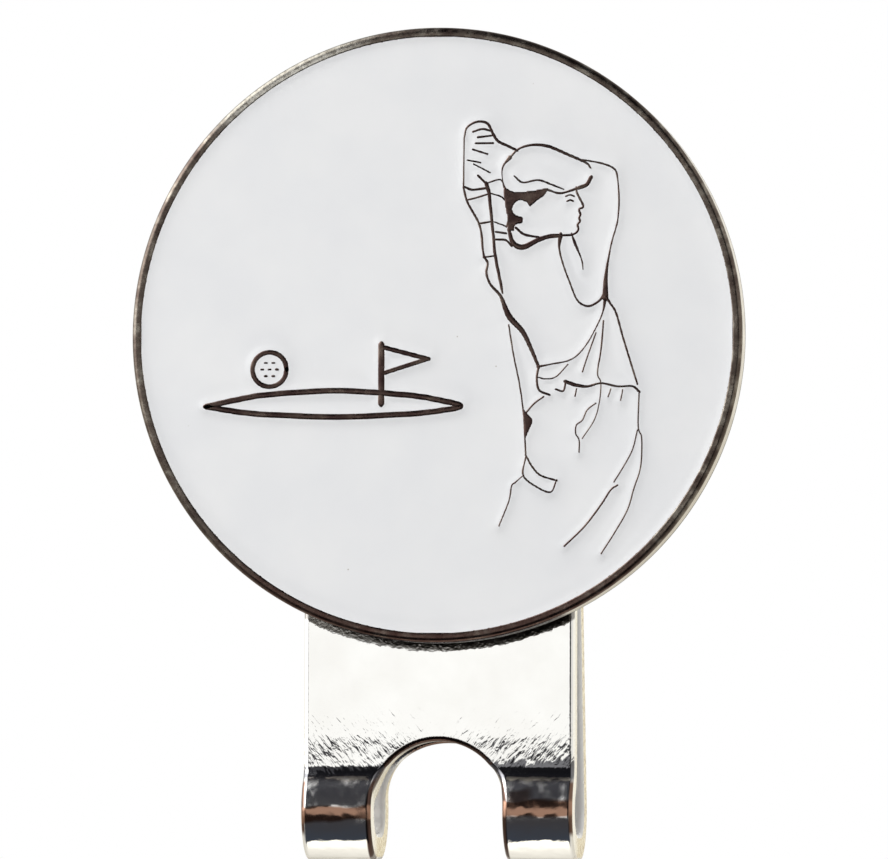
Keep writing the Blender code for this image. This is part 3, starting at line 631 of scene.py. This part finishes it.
def distance_to_line(u, v, line):
    """Distance from points to a polyline's edge; the line's third column is its half width."""
    best = np.full(u.shape, 1e9)
    for (au, av, ah), (bu, bv, bh) in zip(line, line[1:]):
        du, dv = bu - au, bv - av
        t = np.clip(((u - au) * du + (v - av) * dv) / max(du * du + dv * dv, 1e-12), 0.0, 1.0)
        gap = np.hypot(u - au - t * du, v - av - t * dv) - (ah + t * (bh - ah))
        best = np.minimum(best, gap)
    return best


def inside(u, v, outline):
    """Whether points lie in a closed outline, by counting crossings."""
    odd = np.zeros(u.shape, bool)
    for (au, av), (bu, bv) in zip(outline, np.roll(outline, -1, axis=0)):
        if av != bv:
            odd ^= ((av > v) != (bv > v)) & (u < au + (v - av) * (bu - au) / (bv - av))
    return odd


def stroke_line(stroke, spacing):
    """A stroke's smoothed middle line with its half width as third column."""
    widths, points = stroke
    if not isinstance(widths, tuple):
        widths = (widths,) * len(points)
    return smooth_line([(u, v, width / 2) for (u, v), width in zip(points, widths)], spacing)


def closed(edge):
    """A closed outline as a polyline without width, for distance_to_line."""
    return np.column_stack((np.vstack((edge, edge[:1])), np.zeros(len(edge) + 1)))


def raised_line(line, top):
    """Points and faces of one raised line: upright walls, rounded shoulders and round ends."""
    centre, half = line[:, :2], line[:, 2]
    run = np.gradient(centre, axis=0)
    run /= np.linalg.norm(run, axis=1)[:, None]
    cap = np.array([0.0, 0.35, 0.66, 0.88])
    first = centre[0] - run[0] * (half[0] * np.cos(np.pi / 2 * cap))[:, None]
    last = centre[-1] + run[-1] * (half[-1] * np.cos(np.pi / 2 * cap))[::-1][:, None]
    width = np.sin(np.pi / 2 * np.clip(cap, 0.08, 1.0))
    centre = np.vstack((first, centre, last))
    run = np.vstack((np.repeat(run[:1], 4, 0), run, np.repeat(run[-1:], 4, 0)))
    half = np.concatenate((half[0] * width, half, half[-1] * width[::-1]))
    side = np.column_stack((-run[:, 1], run[:, 0]))
    shoulder = np.minimum(LINE_SHOULDER, 0.75 * half)
    left = [(-1, 0, None), (-1, 0, 1.0), (-1, 0.30, 0.30), (-1, 1.0, 0.0)]
    section = left + [(1, inset, drop) for _, inset, drop in left[::-1]]
    columns = []
    for sign, inset, drop in section:
        across = sign * (half - inset * shoulder)
        level = np.full(len(half), LINE_BASE_W) if drop is None else top - drop * shoulder
        columns.append(np.column_stack((centre + side * across[:, None], level)))
    count, wide = len(half), len(section)
    points = np.stack(columns, axis=1).reshape(-1, 3)
    faces = []
    for start in range(0, (count - 1) * wide, wide):
        for j, following in enumerate((*range(1, wide), 0)):
            faces.append((start + j, start + following, start + wide + following, start + wide + j))
    faces.append(tuple(range(wide))[::-1])
    faces.append(tuple((count - 1) * wide + j for j in range(wide)))
    return points.tolist(), faces


def triangulate(points, loops, edges=()):
    """Triangles over the points inside the loops; the points keep their order."""
    loops = [list(loop) for loop in loops]
    result = geometry.delaunay_2d_cdt([Vector(p) for p in points], list(edges), loops, 1, 1e-7)
    source = [origin[0] for origin in result[3]]
    return [tuple(source[k] for k in face) for face in result[2]]


def raised_patch(outline, top):
    """Points and faces of a filled raised area with rounded shoulders."""
    edge = smooth_line(outline, 0.05, ring=True)
    low, high = edge.min(0), edge.max(0)
    u, v = np.meshgrid(np.arange(low[0], high[0], 0.05), np.arange(low[1], high[1], 0.05))
    u, v = u.ravel(), v.ravel()
    depth = distance_to_line(u, v, closed(edge))
    keep = inside(u, v, edge) & (depth > 0.02)
    flat = np.vstack((edge, np.column_stack((u[keep], v[keep]))))
    depth = np.concatenate((np.zeros(len(edge)), depth[keep]))
    rest = np.clip(LINE_SHOULDER - depth, 0.0, LINE_SHOULDER)
    level = top - (LINE_SHOULDER - np.sqrt(LINE_SHOULDER**2 - rest**2))
    faces = triangulate(flat, [range(len(edge))])
    count = len(flat)
    base = np.column_stack((edge, np.full(len(edge), LINE_BASE_W)))
    points = np.column_stack((flat, level)).tolist() + base.tolist()
    walls = [(k, count + k, count + (k + 1) % len(edge), (k + 1) % len(edge)) for k in range(len(edge))]
    return points, faces + walls + [tuple(range(count, count + len(edge)))[::-1]]


def turned(name, profile, centre_x, centre_z, base_y, materials, steps=256, wobble=0.0):
    """A solid of revolution about a line along Y. The profile is (radius, height, material) from the
    middle of its back to the middle of its front, and a point's material is that of the band after it."""
    angles = np.arange(steps) * math.tau / steps
    waves = np.sin(5 * angles + 0.7) + 0.6 * np.sin(13 * angles) + 0.4 * np.sin(29 * angles + 2.0)
    uneven = 1.0 + wobble * waves
    points, faces = [(centre_x, base_y - profile[0][1], centre_z)], []
    rings = profile[1:-1]
    for radius, height, _ in rings:
        reach = radius * uneven
        points += np.column_stack((centre_x + reach * np.cos(angles), np.full(steps, base_y - height),
                                   centre_z + reach * np.sin(angles))).tolist()
    points.append((centre_x, base_y - profile[-1][1], centre_z))
    pairs = [(j, (j + 1) % steps) for j in range(steps)]
    faces += [(0, 1 + j, 1 + k) for j, k in pairs]
    for here in range(1, (len(rings) - 1) * steps, steps):
        faces += [(here + j, here + steps + j, here + steps + k, here + k) for j, k in pairs]
    faces += [(len(points) - 1 - steps + j, len(points) - 1, len(points) - 1 - steps + k) for j, k in pairs]
    kinds = [kind for _, _, kind in profile[:1] + rings for _ in pairs]
    return add_piece(name, points, faces, materials, kinds)


def shoulder_arc(radius, height, size, start, end, kind, steps=5):
    """Profile points of a rounded corner about (radius, height), angles from start to end in degrees."""
    angles = [math.radians(start + (end - start) * k / steps) for k in range(steps + 1)]
    return [(radius + size * math.cos(a), height + size * math.sin(a), kind) for a in angles]


# ---- coin


def make_coin_body():
    """The turned part of the coin: rim with worn shoulders, side with its trim line, and back."""
    face, side, back = 0, 1, 2
    inner = COIN_RADIUS - RIM_WIDTH
    top = COIN_THICKNESS
    profile = [(0.0, 0.0, back), (COIN_RADIUS * 0.6, 0.0, back)]
    profile += shoulder_arc(COIN_RADIUS - 0.10, 0.10, 0.10, -90.0, 0.0, back)
    profile += [(COIN_RADIUS, 0.22, side), (COIN_RADIUS - 0.05, 0.24, face), (COIN_RADIUS - 0.05, 0.30, side),
                (COIN_RADIUS, 0.32, side)]
    profile += shoulder_arc(COIN_RADIUS - 0.20, top - 0.20, 0.20, 0.0, 90.0, face, 10)
    profile += shoulder_arc(inner + 0.07, top - 0.07, 0.07, 90.0, 180.0, face)
    profile += [(inner, FLOOR_W, face), (inner * 0.5, FLOOR_W, face), (0.0, FLOOR_W, face)]
    materials = [RIM_NICKEL, EDGE_NICKEL, BACK_NICKEL]
    body = turned("coin_body", profile, COIN_X, COIN_Z, COIN_BACK_Y, materials, 360)
    settle(body, "marker", "marker_blank")


def make_lines(name, strokes, patches):
    """The raised lines of one picture. Tops differ by a few microns, so that no two faces coincide."""
    parts = []
    for number, stroke in enumerate(strokes.values()):
        top = COIN_THICKNESS - LINE_SINK - TOP_STEP * (number % TOP_STEPS)
        parts.append(raised_line(stroke_line(stroke, 0.05), top))
    for number, outline in enumerate(patches.values()):
        parts.append(raised_patch(outline, COIN_THICKNESS - PATCH_SINK - TOP_STEP * number))
    points, faces = [], []
    for more_points, more_faces in parts:
        faces += [tuple(len(points) + k for k in face) for face in more_faces]
        points += more_points
    lines = add_piece(name, on_coin(points), faces, [LINE_NICKEL], sharp=50.0)
    settle(lines, "marker")


def enamel_level(u, v):
    """Height of the enamel: flat, and drawn up against the lines, the patches and the rim."""
    inner = COIN_RADIUS - RIM_WIDTH
    gap = inner - np.hypot(u, v)
    lines = [stroke_line(stroke, 0.15) for stroke in (*FIGURE_LINES.values(), *EMBLEM_LINES.values())]
    for outline in FIGURE_PATCHES.values():
        lines.append(closed(smooth_line(outline, 0.15, ring=True)))
    for line in lines:
        low, high = line[:, :2].min(0) - 1.6, line[:, :2].max(0) + 1.6
        near = (u > low[0]) & (u < high[0]) & (v > low[1]) & (v < high[1])
        gap[near] = np.minimum(gap[near], distance_to_line(u[near], v[near], line))
    gap = np.clip(gap, 0.0, None)
    return ENAMEL_W - ENAMEL_SAG + MENISCUS_RISE * np.exp(-gap / MENISCUS_REACH)


def make_enamel():
    """One sheet of small cells over the coin's floor, shared out among the pools."""
    inner = COIN_RADIUS - RIM_WIDTH
    count = math.ceil(inner / ENAMEL_CELL) + 1
    ticks = np.arange(-count, count + 1) * ENAMEL_CELL
    u, v = np.meshgrid(ticks, ticks)
    shape = u.shape
    away = np.hypot(u, v)
    beyond = np.maximum(away, inner + 0.02) / (inner + 0.02)
    nearest = np.minimum(away[:-1], away[1:])
    whole = np.minimum(nearest[:, :-1], nearest[:, 1:]) < inner
    u, v = u / beyond, v / beyond
    level = enamel_level(u.ravel(), v.ravel())
    corner_points = np.column_stack((u.ravel(), v.ravel(), level))
    floor_points = np.column_stack((u.ravel(), v.ravel(), np.full(u.size, ENAMEL_BASE_W)))
    numbers = np.arange(u.size).reshape(shape)
    corners = np.stack((numbers[:-1, :-1], numbers[:-1, 1:], numbers[1:, 1:], numbers[1:, :-1]), axis=-1)
    mid_u, mid_v = np.meshgrid(ticks[:-1] + ENAMEL_CELL / 2, ticks[:-1] + ENAMEL_CELL / 2)
    owner = np.where(whole, 0, -1)
    for number, outline in enumerate(POOLS.values(), start=1):
        owner[inside(mid_u, mid_v, smooth_line(outline, 0.1, ring=True)) & (owner == 0)] = number
    padded = np.pad(owner, 1, constant_values=-1)
    for number, name in enumerate(("enamel_field", *POOLS)):
        mine = owner == number
        cells = corners[mine]
        used = np.unique(cells)
        place = np.full(u.size, -1)
        place[used] = np.arange(len(used))
        tops = place[cells]
        faces = tops.tolist() + (tops[:, ::-1] + len(used)).tolist()
        for row, column, a, b in ((0, 1, 0, 1), (1, 2, 1, 2), (2, 1, 2, 3), (1, 0, 3, 0)):
            beside = padded[row:row + owner.shape[0], column:column + owner.shape[1]]
            edge = mine & (beside != number)
            p, q = place[corners[edge][:, a]], place[corners[edge][:, b]]
            faces += np.column_stack((q, p, p + len(used), q + len(used))).tolist()
        points = on_coin(np.vstack((corner_points[used], floor_points[used])))
        pool = add_piece(name.replace("enamel", "pool"), points, faces, [ENAMEL], sharp=40.0)
        settle(pool, "marker", name)


# ---- magnet


def make_magnet():
    """The chamfered magnet in its seat, with the bead of glue that was pressed out around it."""
    radius = (MAGNET_HIGH.x - MAGNET_LOW.x) / 2
    thickness = MAGNET_HIGH.y - MAGNET_LOW.y
    profile = [(0.0, 0.0, 0), (radius - 0.15, 0.0, 0), (radius, 0.15, 0)]
    profile += shoulder_arc(radius - 0.18, thickness - 0.18, 0.18, 0.0, 90.0, 0)
    profile += [(radius * 0.5, thickness, 0), (0.0, thickness, 0)]
    magnet = turned("magnet_disc", profile, COIN_X, COIN_Z, MAGNET_HIGH.y, [MAGNET_PLATING], 128)
    settle(magnet, "clip", "magnet")

    film = (GLUE_HIGH.x - GLUE_LOW.x) / 2
    depth = GLUE_HIGH.y - GLUE_LOW.y
    face = GLUE_HIGH.y - (PLATE_Y - SHEET / 2)
    seat = SEAT_RADIUS - 0.01
    outline = [(0.0, 0.0), (film, 0.0), (seat, 0.02), (seat, face), (SEAT_RADIUS + 0.10, face + 0.01),
               (SEAT_RADIUS + 0.05, face + 0.07), (radius + 0.05, face + 0.12), (radius + 0.005, face + 0.15),
               (radius + 0.005, depth + 0.02), (film - 0.10, depth), (0.0, depth)]
    profile = [(*point, 0) for point in outline]
    glue = turned("glue_bead", profile, COIN_X, COIN_Z, GLUE_HIGH.y, [GLUE], 128, wobble=0.0012)
    settle(glue, "clip", "magnet_adhesive")


# ---- clip


class Strip:
    """The sheet's middle line in the (y, z) plane. A heading of 0 points down and 90 points to +Y."""

    def __init__(self, y, z, heading=0.0):
        self.parts = []
        self.length = 0.0
        self.y, self.z, self.heading = y, z, heading

    def straight(self, length):
        self.parts.append((self.length, self.y, self.z, math.radians(self.heading), 0.0))
        self.length += length
        self.y += length * math.sin(math.radians(self.heading))
        self.z -= length * math.cos(math.radians(self.heading))

    def bend(self, radius, degrees):
        start = math.radians(self.heading)
        curve = math.copysign(1.0 / radius, degrees)
        self.parts.append((self.length, self.y, self.z, start, curve))
        self.length += radius * math.radians(abs(degrees))
        self.heading += degrees
        end = math.radians(self.heading)
        self.y += (math.cos(start) - math.cos(end)) / curve
        self.z -= (math.sin(end) - math.sin(start)) / curve

    def at(self, s):
        """y, z and heading in radians at the lengths s."""
        s = np.asarray(s, float)
        y, z, turn = np.zeros_like(s), np.zeros_like(s), np.zeros_like(s)
        for start, y0, z0, turn0, curve in self.parts:
            here = s >= start - 1e-9
            run = s[here] - start
            after = turn0 + curve * run
            turn[here] = after
            if curve:
                y[here] = y0 + (math.cos(turn0) - np.cos(after)) / curve
                z[here] = z0 - (np.sin(after) - math.sin(turn0)) / curve
            else:
                y[here] = y0 + run * math.sin(turn0)
                z[here] = z0 - run * math.cos(turn0)
        return y, z, turn

    def rows(self, start, end):
        """Lengths for rows of vertices: close together in bends, wider apart on straights."""
        found = [start]
        ends = [part[0] for part in self.parts[1:]] + [self.length]
        for (first, _, _, _, curve), last in zip(self.parts, ends):
            a, b = max(first, start), min(last, end)
            if b - a > 1e-6:
                steps = max(1, math.ceil((b - a) / (0.10 if curve else 0.30)))
                found += [a + (b - a) * k / steps for k in range(1, steps + 1)]
        return np.array(found)

    def length_at_z(self, z, start, end):
        """Where the strip passes the heights z, between two lengths over which it only rises or falls."""
        table = np.linspace(start, end, 4000)
        heights = self.at(table)[1]
        order = np.argsort(heights)
        return np.interp(z, heights[order], table[order])


def whole_strip(y):
    """The folded strip from the plate's top to the leg's tip, with the plate's middle at y, and the
    lengths along it at the middle of the fold's flat and where the leg's straight part begins."""
    strip = Strip(y, PLATE_TOP_Z)
    nose_top_z = SHEET / 2 + FOLD_RADIUS + (NOSE_RADIUS + FOLD_RADIUS) * math.sin(math.radians(NOSE_TURN))
    strip.straight(PLATE_TOP_Z - nose_top_z)
    strip.bend(NOSE_RADIUS, -NOSE_TURN)
    strip.bend(FOLD_RADIUS, NOSE_TURN + 90.0)
    strip.straight(FOLD_FLAT / 2)
    fold = strip.length
    strip.straight(FOLD_FLAT / 2)
    strip.bend(FOLD_RADIUS, 90.0 + LEG_LEAN)
    straight_leg = strip.length
    lean = math.radians(LEG_LEAN)
    pinch_y = y + SHEET + PINCH_GAP
    strip.straight((strip.y - pinch_y - TIP_RADIUS * (1.0 - math.cos(lean))) / math.sin(lean))
    strip.bend(TIP_RADIUS, -TIP_TURN)
    strip.straight(TIP_LENGTH)
    return strip, fold, straight_leg


def plate_middle_y():
    """The CAD node's foremost line is the nose, which stands out from the plate by what the bends give."""
    strip, fold, _ = whole_strip(0.0)
    y, _, turn = strip.at(np.linspace(0.0, fold, 4000))
    return PLATE_LOW.y - float((y - np.cos(turn) * SHEET / 2).min())


PLATE_Y = plate_middle_y()
STRIP, FOLD_AT, LEG_AT = whole_strip(PLATE_Y)
JOIN_AT = float(STRIP.length_at_z(STRAP_JOIN_Z, LEG_AT, STRIP.length))
ARCH_FOOT_Z = ARCH_TOP_Z - ARCH_RADIUS
EDGE_TURNS = np.radians((0.0, 22.0, 45.0, 67.0, 90.0))
EDGE_INSETS = np.append(EDGE_ROUND * (1.0 - np.cos(EDGE_TURNS)), EDGE_ROUND + 0.03)
EDGE_DROPS = np.append(EDGE_ROUND * (1.0 - np.sin(EDGE_TURNS)), 0.0)


def upright(x, rows):
    return np.column_stack((np.full(len(rows), x), rows))


def arc_chain(centre_x, centre_s, radius, start, end, steps):
    turn = np.radians(np.linspace(start, end, steps + 1))
    return np.column_stack((centre_x + radius * np.cos(turn), centre_s - radius * np.sin(turn)))


def plate_outer(inset):
    """Edge of the plate piece, set in: up its left side, over the round top and down its right side."""
    half = CLIP_HALF - inset
    rows = STRIP.rows(CLIP_HALF, JOIN_AT)[1:]
    left = upright(-half, rows)[::-1]
    return np.vstack((left, arc_chain(0.0, CLIP_HALF, half, 180.0, 0.0, 64), left[::-1] * (-1.0, 1.0)))


def arch_edge(inset, foot_z, low, high):
    """Edge of the cut-out from the left strap's end over the arch to the right strap's end. The arch
    stands on foot_z as seen from the front, between the lengths low and high along the strip."""
    turn = np.radians(np.linspace(180.0, 0.0, 37))
    along = STRIP.length_at_z(foot_z + (ARCH_TOP_Z - foot_z + inset) * np.sin(turn), low, high)
    arch = np.column_stack(((ARCH_RADIUS + inset) * np.cos(turn), along))
    if JOIN_AT - along[0] < 0.01:
        arch[[0, -1], 1] = JOIN_AT
        return arch
    rows = STRIP.rows(float(along[0]), JOIN_AT)[1:]
    right = upright(ARCH_RADIUS + inset, rows)
    return np.vstack((right[::-1] * (-1.0, 1.0), arch, right))


def leg_outer(inset):
    """Edge of the leg piece: up its left side, over the rounded tip and down its right side."""
    half, corner = CLIP_HALF - inset, TIP_CORNER - inset
    rows = STRIP.rows(JOIN_AT, STRIP.length - TIP_CORNER)[:-1]
    left = upright(-half, rows)
    centre = STRIP.length - TIP_CORNER
    turn = np.radians(np.linspace(180.0, 90.0, 13))
    bend = np.column_stack((TIP_CORNER - CLIP_HALF + corner * np.cos(turn), centre + corner * np.sin(turn)))
    across = np.arange(-3.0, 3.01, 0.3)
    top = np.column_stack((across, np.full(len(across), STRIP.length - inset)))
    return np.vstack((left, bend, top, bend[::-1] * (-1.0, 1.0), left[::-1] * (-1.0, 1.0)))


def sheet_piece(name, outer, inner, start, end, seat=None):
    """A piece of the folded sheet: flat pattern, rounded at its edges, bent along the strip's path.
    outer and inner give the two edges for an inset; the straps end at the join."""
    flat, depth, chains = [], [], []
    for inset in EDGE_INSETS:
        pair = []
        for chain in (outer(inset), inner(inset)):
            pair.append(range(len(flat), len(flat) + len(chain)))
            flat += chain.tolist()
            depth += [inset] * len(chain)
        chains.append(pair)
    edges = [(k, k + 1) for pair in chains[1:] for chain in pair for k in chain[:-1]]
    if seat is not None:
        for radius in (SEAT_RADIUS, SEAT_RADIUS + 0.02):
            ring = arc_chain(seat[0], seat[1], radius, 0.0, 360.0, 120)[:-1]
            first = len(flat)
            flat += ring.tolist()
            depth += [1.0] * len(ring)
            edges += [(first + k, first + (k + 1) % len(ring)) for k in range(len(ring))]
    rows = STRIP.rows(start, end)
    columns = np.linspace(-CLIP_HALF, CLIP_HALF, 38)
    x, s = (grid.ravel() for grid in np.meshgrid(columns, rows))
    boundary = np.vstack((outer(0.0), inner(0.0)[::-1]))
    margin = distance_to_line(x, s, closed(boundary))
    at_cut = np.abs(s - JOIN_AT) < 1e-9
    strap = (np.abs(x) > ARCH_RADIUS + EDGE_ROUND + 0.13) & (np.abs(x) < CLIP_HALF - EDGE_ROUND - 0.13)
    keep = inside(x, s, boundary) & (margin > EDGE_ROUND + 0.10) & ~at_cut | at_cut & strap
    if seat is not None:
        off = np.hypot(x - seat[0], s - seat[1])
        keep &= np.abs(off - SEAT_RADIUS) > 0.08
    flat += np.column_stack((x[keep], s[keep])).tolist()
    depth += [1.0] * int(keep.sum())
    flat, depth = np.array(flat), np.array(depth)

    ends = np.flatnonzero(np.abs(flat[:, 1] - JOIN_AT) < 1e-9)
    ends = ends[np.argsort(flat[ends, 0])]
    left, right = ends[flat[ends, 0] < 0], ends[flat[ends, 0] > 0]
    outer_edge, inner_edge = chains[0]
    loop = [*outer_edge, *right[::-1][1:-1].tolist(), *inner_edge[::-1], *left[::-1][1:-1].tolist()]
    triangles = triangulate(flat, [loop], edges)

    drop = np.interp(depth, EDGE_INSETS, EDGE_DROPS)
    face_out, back_out = SHEET / 2 - drop, -SHEET / 2 + drop
    if seat is not None:
        face_out = np.where(np.hypot(flat[:, 0] - seat[0], flat[:, 1] - seat[1]) < SEAT_RADIUS + 0.01,
                            SHEET / 2 - SEAT_DEPTH, face_out)
    y, z, turn = STRIP.at(flat[:, 1])

    def bent(out):
        return np.column_stack((CLIP_X + flat[:, 0], y - np.cos(turn) * out, z - np.sin(turn) * out))

    count = len(flat)
    points = np.vstack((bent(face_out), bent(back_out)))
    a, b, c = triangles[0]
    turned_over = np.cross(flat[b] - flat[a], flat[c] - flat[a]) > 0
    fronts = [t[::-1] if turned_over else t for t in triangles]
    sides = dict.fromkeys(side for p, q, r in fronts for side in ((p, q), (q, r), (r, p)))
    open_edges = [(one, two) for one, two in sides if (two, one) not in sides]
    faces = fronts + [tuple(count + k for k in t[::-1]) for t in fronts]
    kinds = [0] * len(faces)
    columns = {}
    points = points.tolist()
    for one, _ in open_edges:
        top, bottom = np.array(points[one]), np.array(points[count + one])
        steps = [(top + (bottom - top) * step / WALL_LAYERS).tolist() for step in range(1, WALL_LAYERS)]
        columns[one] = [one, *range(len(points), len(points) + len(steps)), count + one]
        points += steps
    for one, two in open_edges:
        here, there = columns[one], columns[two]
        for k in range(WALL_LAYERS):
            faces.append((there[k], here[k], here[k + 1], there[k + 1]))
            kinds.append(1)
    return add_piece(name, points, faces, [SHEET_NICKEL, SHEARED_NICKEL], kinds, sharp=40.0)


def make_clip():
    """The two pieces of the strip. The plate's piece runs round the fold and up the leg to the straps' join.
    """
    plate = sheet_piece("clip_plate", plate_outer,
                        lambda inset: arch_edge(inset, ARCH_FOOT_Z, 0.0, FOLD_AT - FOLD_FLAT),
                        0.0, JOIN_AT, seat=(COIN_X - CLIP_X, PLATE_TOP_Z - COIN_Z))
    settle(plate, None, "clip_front_plate")
    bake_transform(plate)

    leg = sheet_piece("clip_leg", leg_outer,
                      lambda inset: arch_edge(inset, STRAP_JOIN_Z, JOIN_AT, STRIP.length),
                      JOIN_AT, STRIP.length)
    settle(leg, "spring_leg", "clip_spring_leg")


# ---- light, floor and camera


def aimed(obj, place, target, roll=0.0):
    """Puts a camera or lamp at a place in millimetres, looking at the target, turned about its view."""
    away = (Vector(place) - Vector(target)).normalized()
    turn = away.to_track_quat("Z", "Y").to_matrix().to_4x4()
    obj.matrix_world = Matrix.Translation(Vector(place) * MM) @ turn @ Matrix.Rotation(roll, 4, "Z")
    return obj


def add_softbox(name, place, target, size, watts, colour):
    lamp = bpy.data.lights.new(name, "AREA")
    lamp.shape = "RECTANGLE"
    lamp.size = lamp.size_y = size * MM
    lamp.energy = watts
    lamp.color = colour
    made = aimed(add_object(name, lamp), place, target)
    made.visible_camera = False
    made.visible_glossy = False


def from_view(azimuth, elevation, distance, target):
    a, e = math.radians(azimuth), math.radians(elevation)
    outward = Vector((math.sin(a) * math.cos(e), -math.cos(a) * math.cos(e), math.sin(e)))
    return Vector(target) + distance * outward


def make_floor():
    """A pale sweep under the object: white to the camera, a soft grey in reflections."""
    wide = FLOOR_CELLS + 1
    ticks = np.linspace(-FLOOR_REACH, FLOOR_REACH, wide)
    points = [(x, y, 0.0) for y in ticks for x in ticks]
    faces = [(r + c, r + c + 1, r + wide + c + 1, r + wide + c)
             for r in range(0, FLOOR_CELLS * wide, wide) for c in range(FLOOR_CELLS)]
    made = bpy.data.materials.new("pale_floor")
    made.use_nodes = True
    tree = made.node_tree
    shader = tree.nodes["Principled BSDF"]
    shader.inputs["Base Color"].default_value = (0.55, 0.55, 0.56, 1.0)
    shader.inputs["Roughness"].default_value = 0.9
    seen = node(tree, "LightPath").outputs["Is Camera Ray"]
    white = node(tree, "Emission", {"Color": (*WHITE, 1.0), "Strength": 1.0})
    both = node(tree, "MixShader", {0: seen, 1: shader.outputs["BSDF"], 2: white.outputs["Emission"]})
    tree.links.new(both.outputs["Shader"], tree.nodes["Material Output"].inputs["Surface"])
    floor = add_piece("floor", points, faces, [made])
    floor.visible_glossy = False


def around(angle, *stops):
    """A colour by elevation: angle is the socket with the elevation over 90 degrees, from -1 to 1."""
    return ramp(mapped(angle, -1.0, 1.0), *((0.5 + degrees / 180.0, colour) for degrees, colour in stops))


def make_studio():
    """The room. The camera sees white behind the object. Reflections see a dark wall in front with one
    pale window a little above level, pale walls to the sides, a bright lamp high on the left and the
    white backdrop behind. Everything else is lit by a soft grey room."""
    world = bpy.data.worlds.new("studio")
    bpy.context.scene.world = world
    world.use_nodes = True
    tree = world.node_tree
    tree.nodes.clear()
    direction = node(tree, "TexCoord").outputs["Generated"]
    x, y, z = axes(direction)
    angle = maths("DIVIDE", maths("ARCSINE", z), math.pi / 2)
    degrees = maths("MULTIPLY", angle, 90.0)
    wall = around(angle, (-90.0, (1.55, 1.50, 1.36)), (-71.0, (1.50, 1.43, 1.26)),
                  (-67.0, (0.040, 0.048, 0.064)), (-24.0, (0.044, 0.042, 0.046)),
                  (0.0, (0.050, 0.049, 0.053)), (40.0, (0.034, 0.034, 0.040)), (90.0, (0.07, 0.07, 0.08)))
    pane = times(window(degrees, -10.0, -8.0, 4.6, 7.5), window(x, -0.40, -0.30, 0.12, 0.22))
    front = mixed(pane, wall, (1.03, 1.03, 1.01))
    sides = around(angle, (-90.0, (0.50, 0.49, 0.47)), (-30.0, (0.42, 0.41, 0.39)),
                   (-4.0, (0.62, 0.60, 0.55)), (0.0, (0.80, 0.79, 0.76)), (35.0, (0.95, 0.95, 0.93)),
                   (90.0, (0.40, 0.40, 0.41)))
    back = around(angle, (-90.0, (1.10, 1.06, 0.96)), (-40.0, (0.72, 0.69, 0.62)), (-4.0, (0.70, 0.66, 0.56)),
                  (-1.0, (0.98, 0.95, 0.86)), (25.0, (1.0, 0.99, 0.94)), (60.0, (0.42, 0.42, 0.43)),
                  (90.0, (0.20, 0.20, 0.21)))
    sideways = eased(maths("ABSOLUTE", x), 0.46, 0.66)
    walls = mixed(eased(y, -0.30, 0.20), mixed(sideways, front, sides), back)
    lamp = ramp(vectors("DOT_PRODUCT", direction, LAMP_DIRECTION, output="Value"),
                (0.54, 0.0), (0.72, 0.38), (0.88, 0.72), (0.96, 1.0))
    leftwards = eased(x, -0.42, -0.26, 4.2, 0.0)
    glow = node(tree, "VectorMath", {0: lamp, "Scale": leftwards}, operation="SCALE").outputs["Vector"]
    soft = around(angle, (-90.0, 0.525), (0.0, 0.475), (90.0, 0.675))
    rays = node(tree, "LightPath").outputs
    lit = mixed(rays["Is Glossy Ray"], soft, vectors("ADD", walls, glow))
    seen = mixed(rays["Is Camera Ray"], lit, WHITE)
    light = node(tree, "Background", {"Color": seen, "Strength": 1.0})
    tree.links.new(light.outputs["Background"], node(tree, "OutputWorld").inputs["Surface"])
    bpy.context.scene.view_settings.view_transform = "Standard"

    middle = (COIN_X, COIN_BACK_Y - COIN_THICKNESS, COIN_Z)
    add_softbox("key", from_view(-48.0, 42.0, 420.0, middle), middle, 260.0, 1.50, (1.0, 0.995, 0.98))


def make_camera():
    """At the product view: a little to the right of the coin's axis and just below level."""
    target = Vector((COIN_X + AIM_RIGHT, COIN_BACK_Y - COIN_THICKNESS, COIN_Z - AIM_DOWN))
    lens = bpy.data.cameras.new("camera")
    place = from_view(VIEW_AZIMUTH, VIEW_ELEVATION, VIEW_DISTANCE, target)
    bpy.context.scene.camera = aimed(add_object("camera", lens), place, target, VIEW_ROLL)
    lens.sensor_width = SENSOR_WIDTH
    lens.lens = SENSOR_WIDTH * VIEW_DISTANCE / VIEW_WIDTH
    lens.clip_start = 0.01


make_coin_body()
make_lines("figure_lines", FIGURE_LINES, FIGURE_PATCHES)
make_lines("emblem_lines", EMBLEM_LINES, {})
make_enamel()
make_magnet()
make_clip()
make_floor()
make_studio()
make_camera()
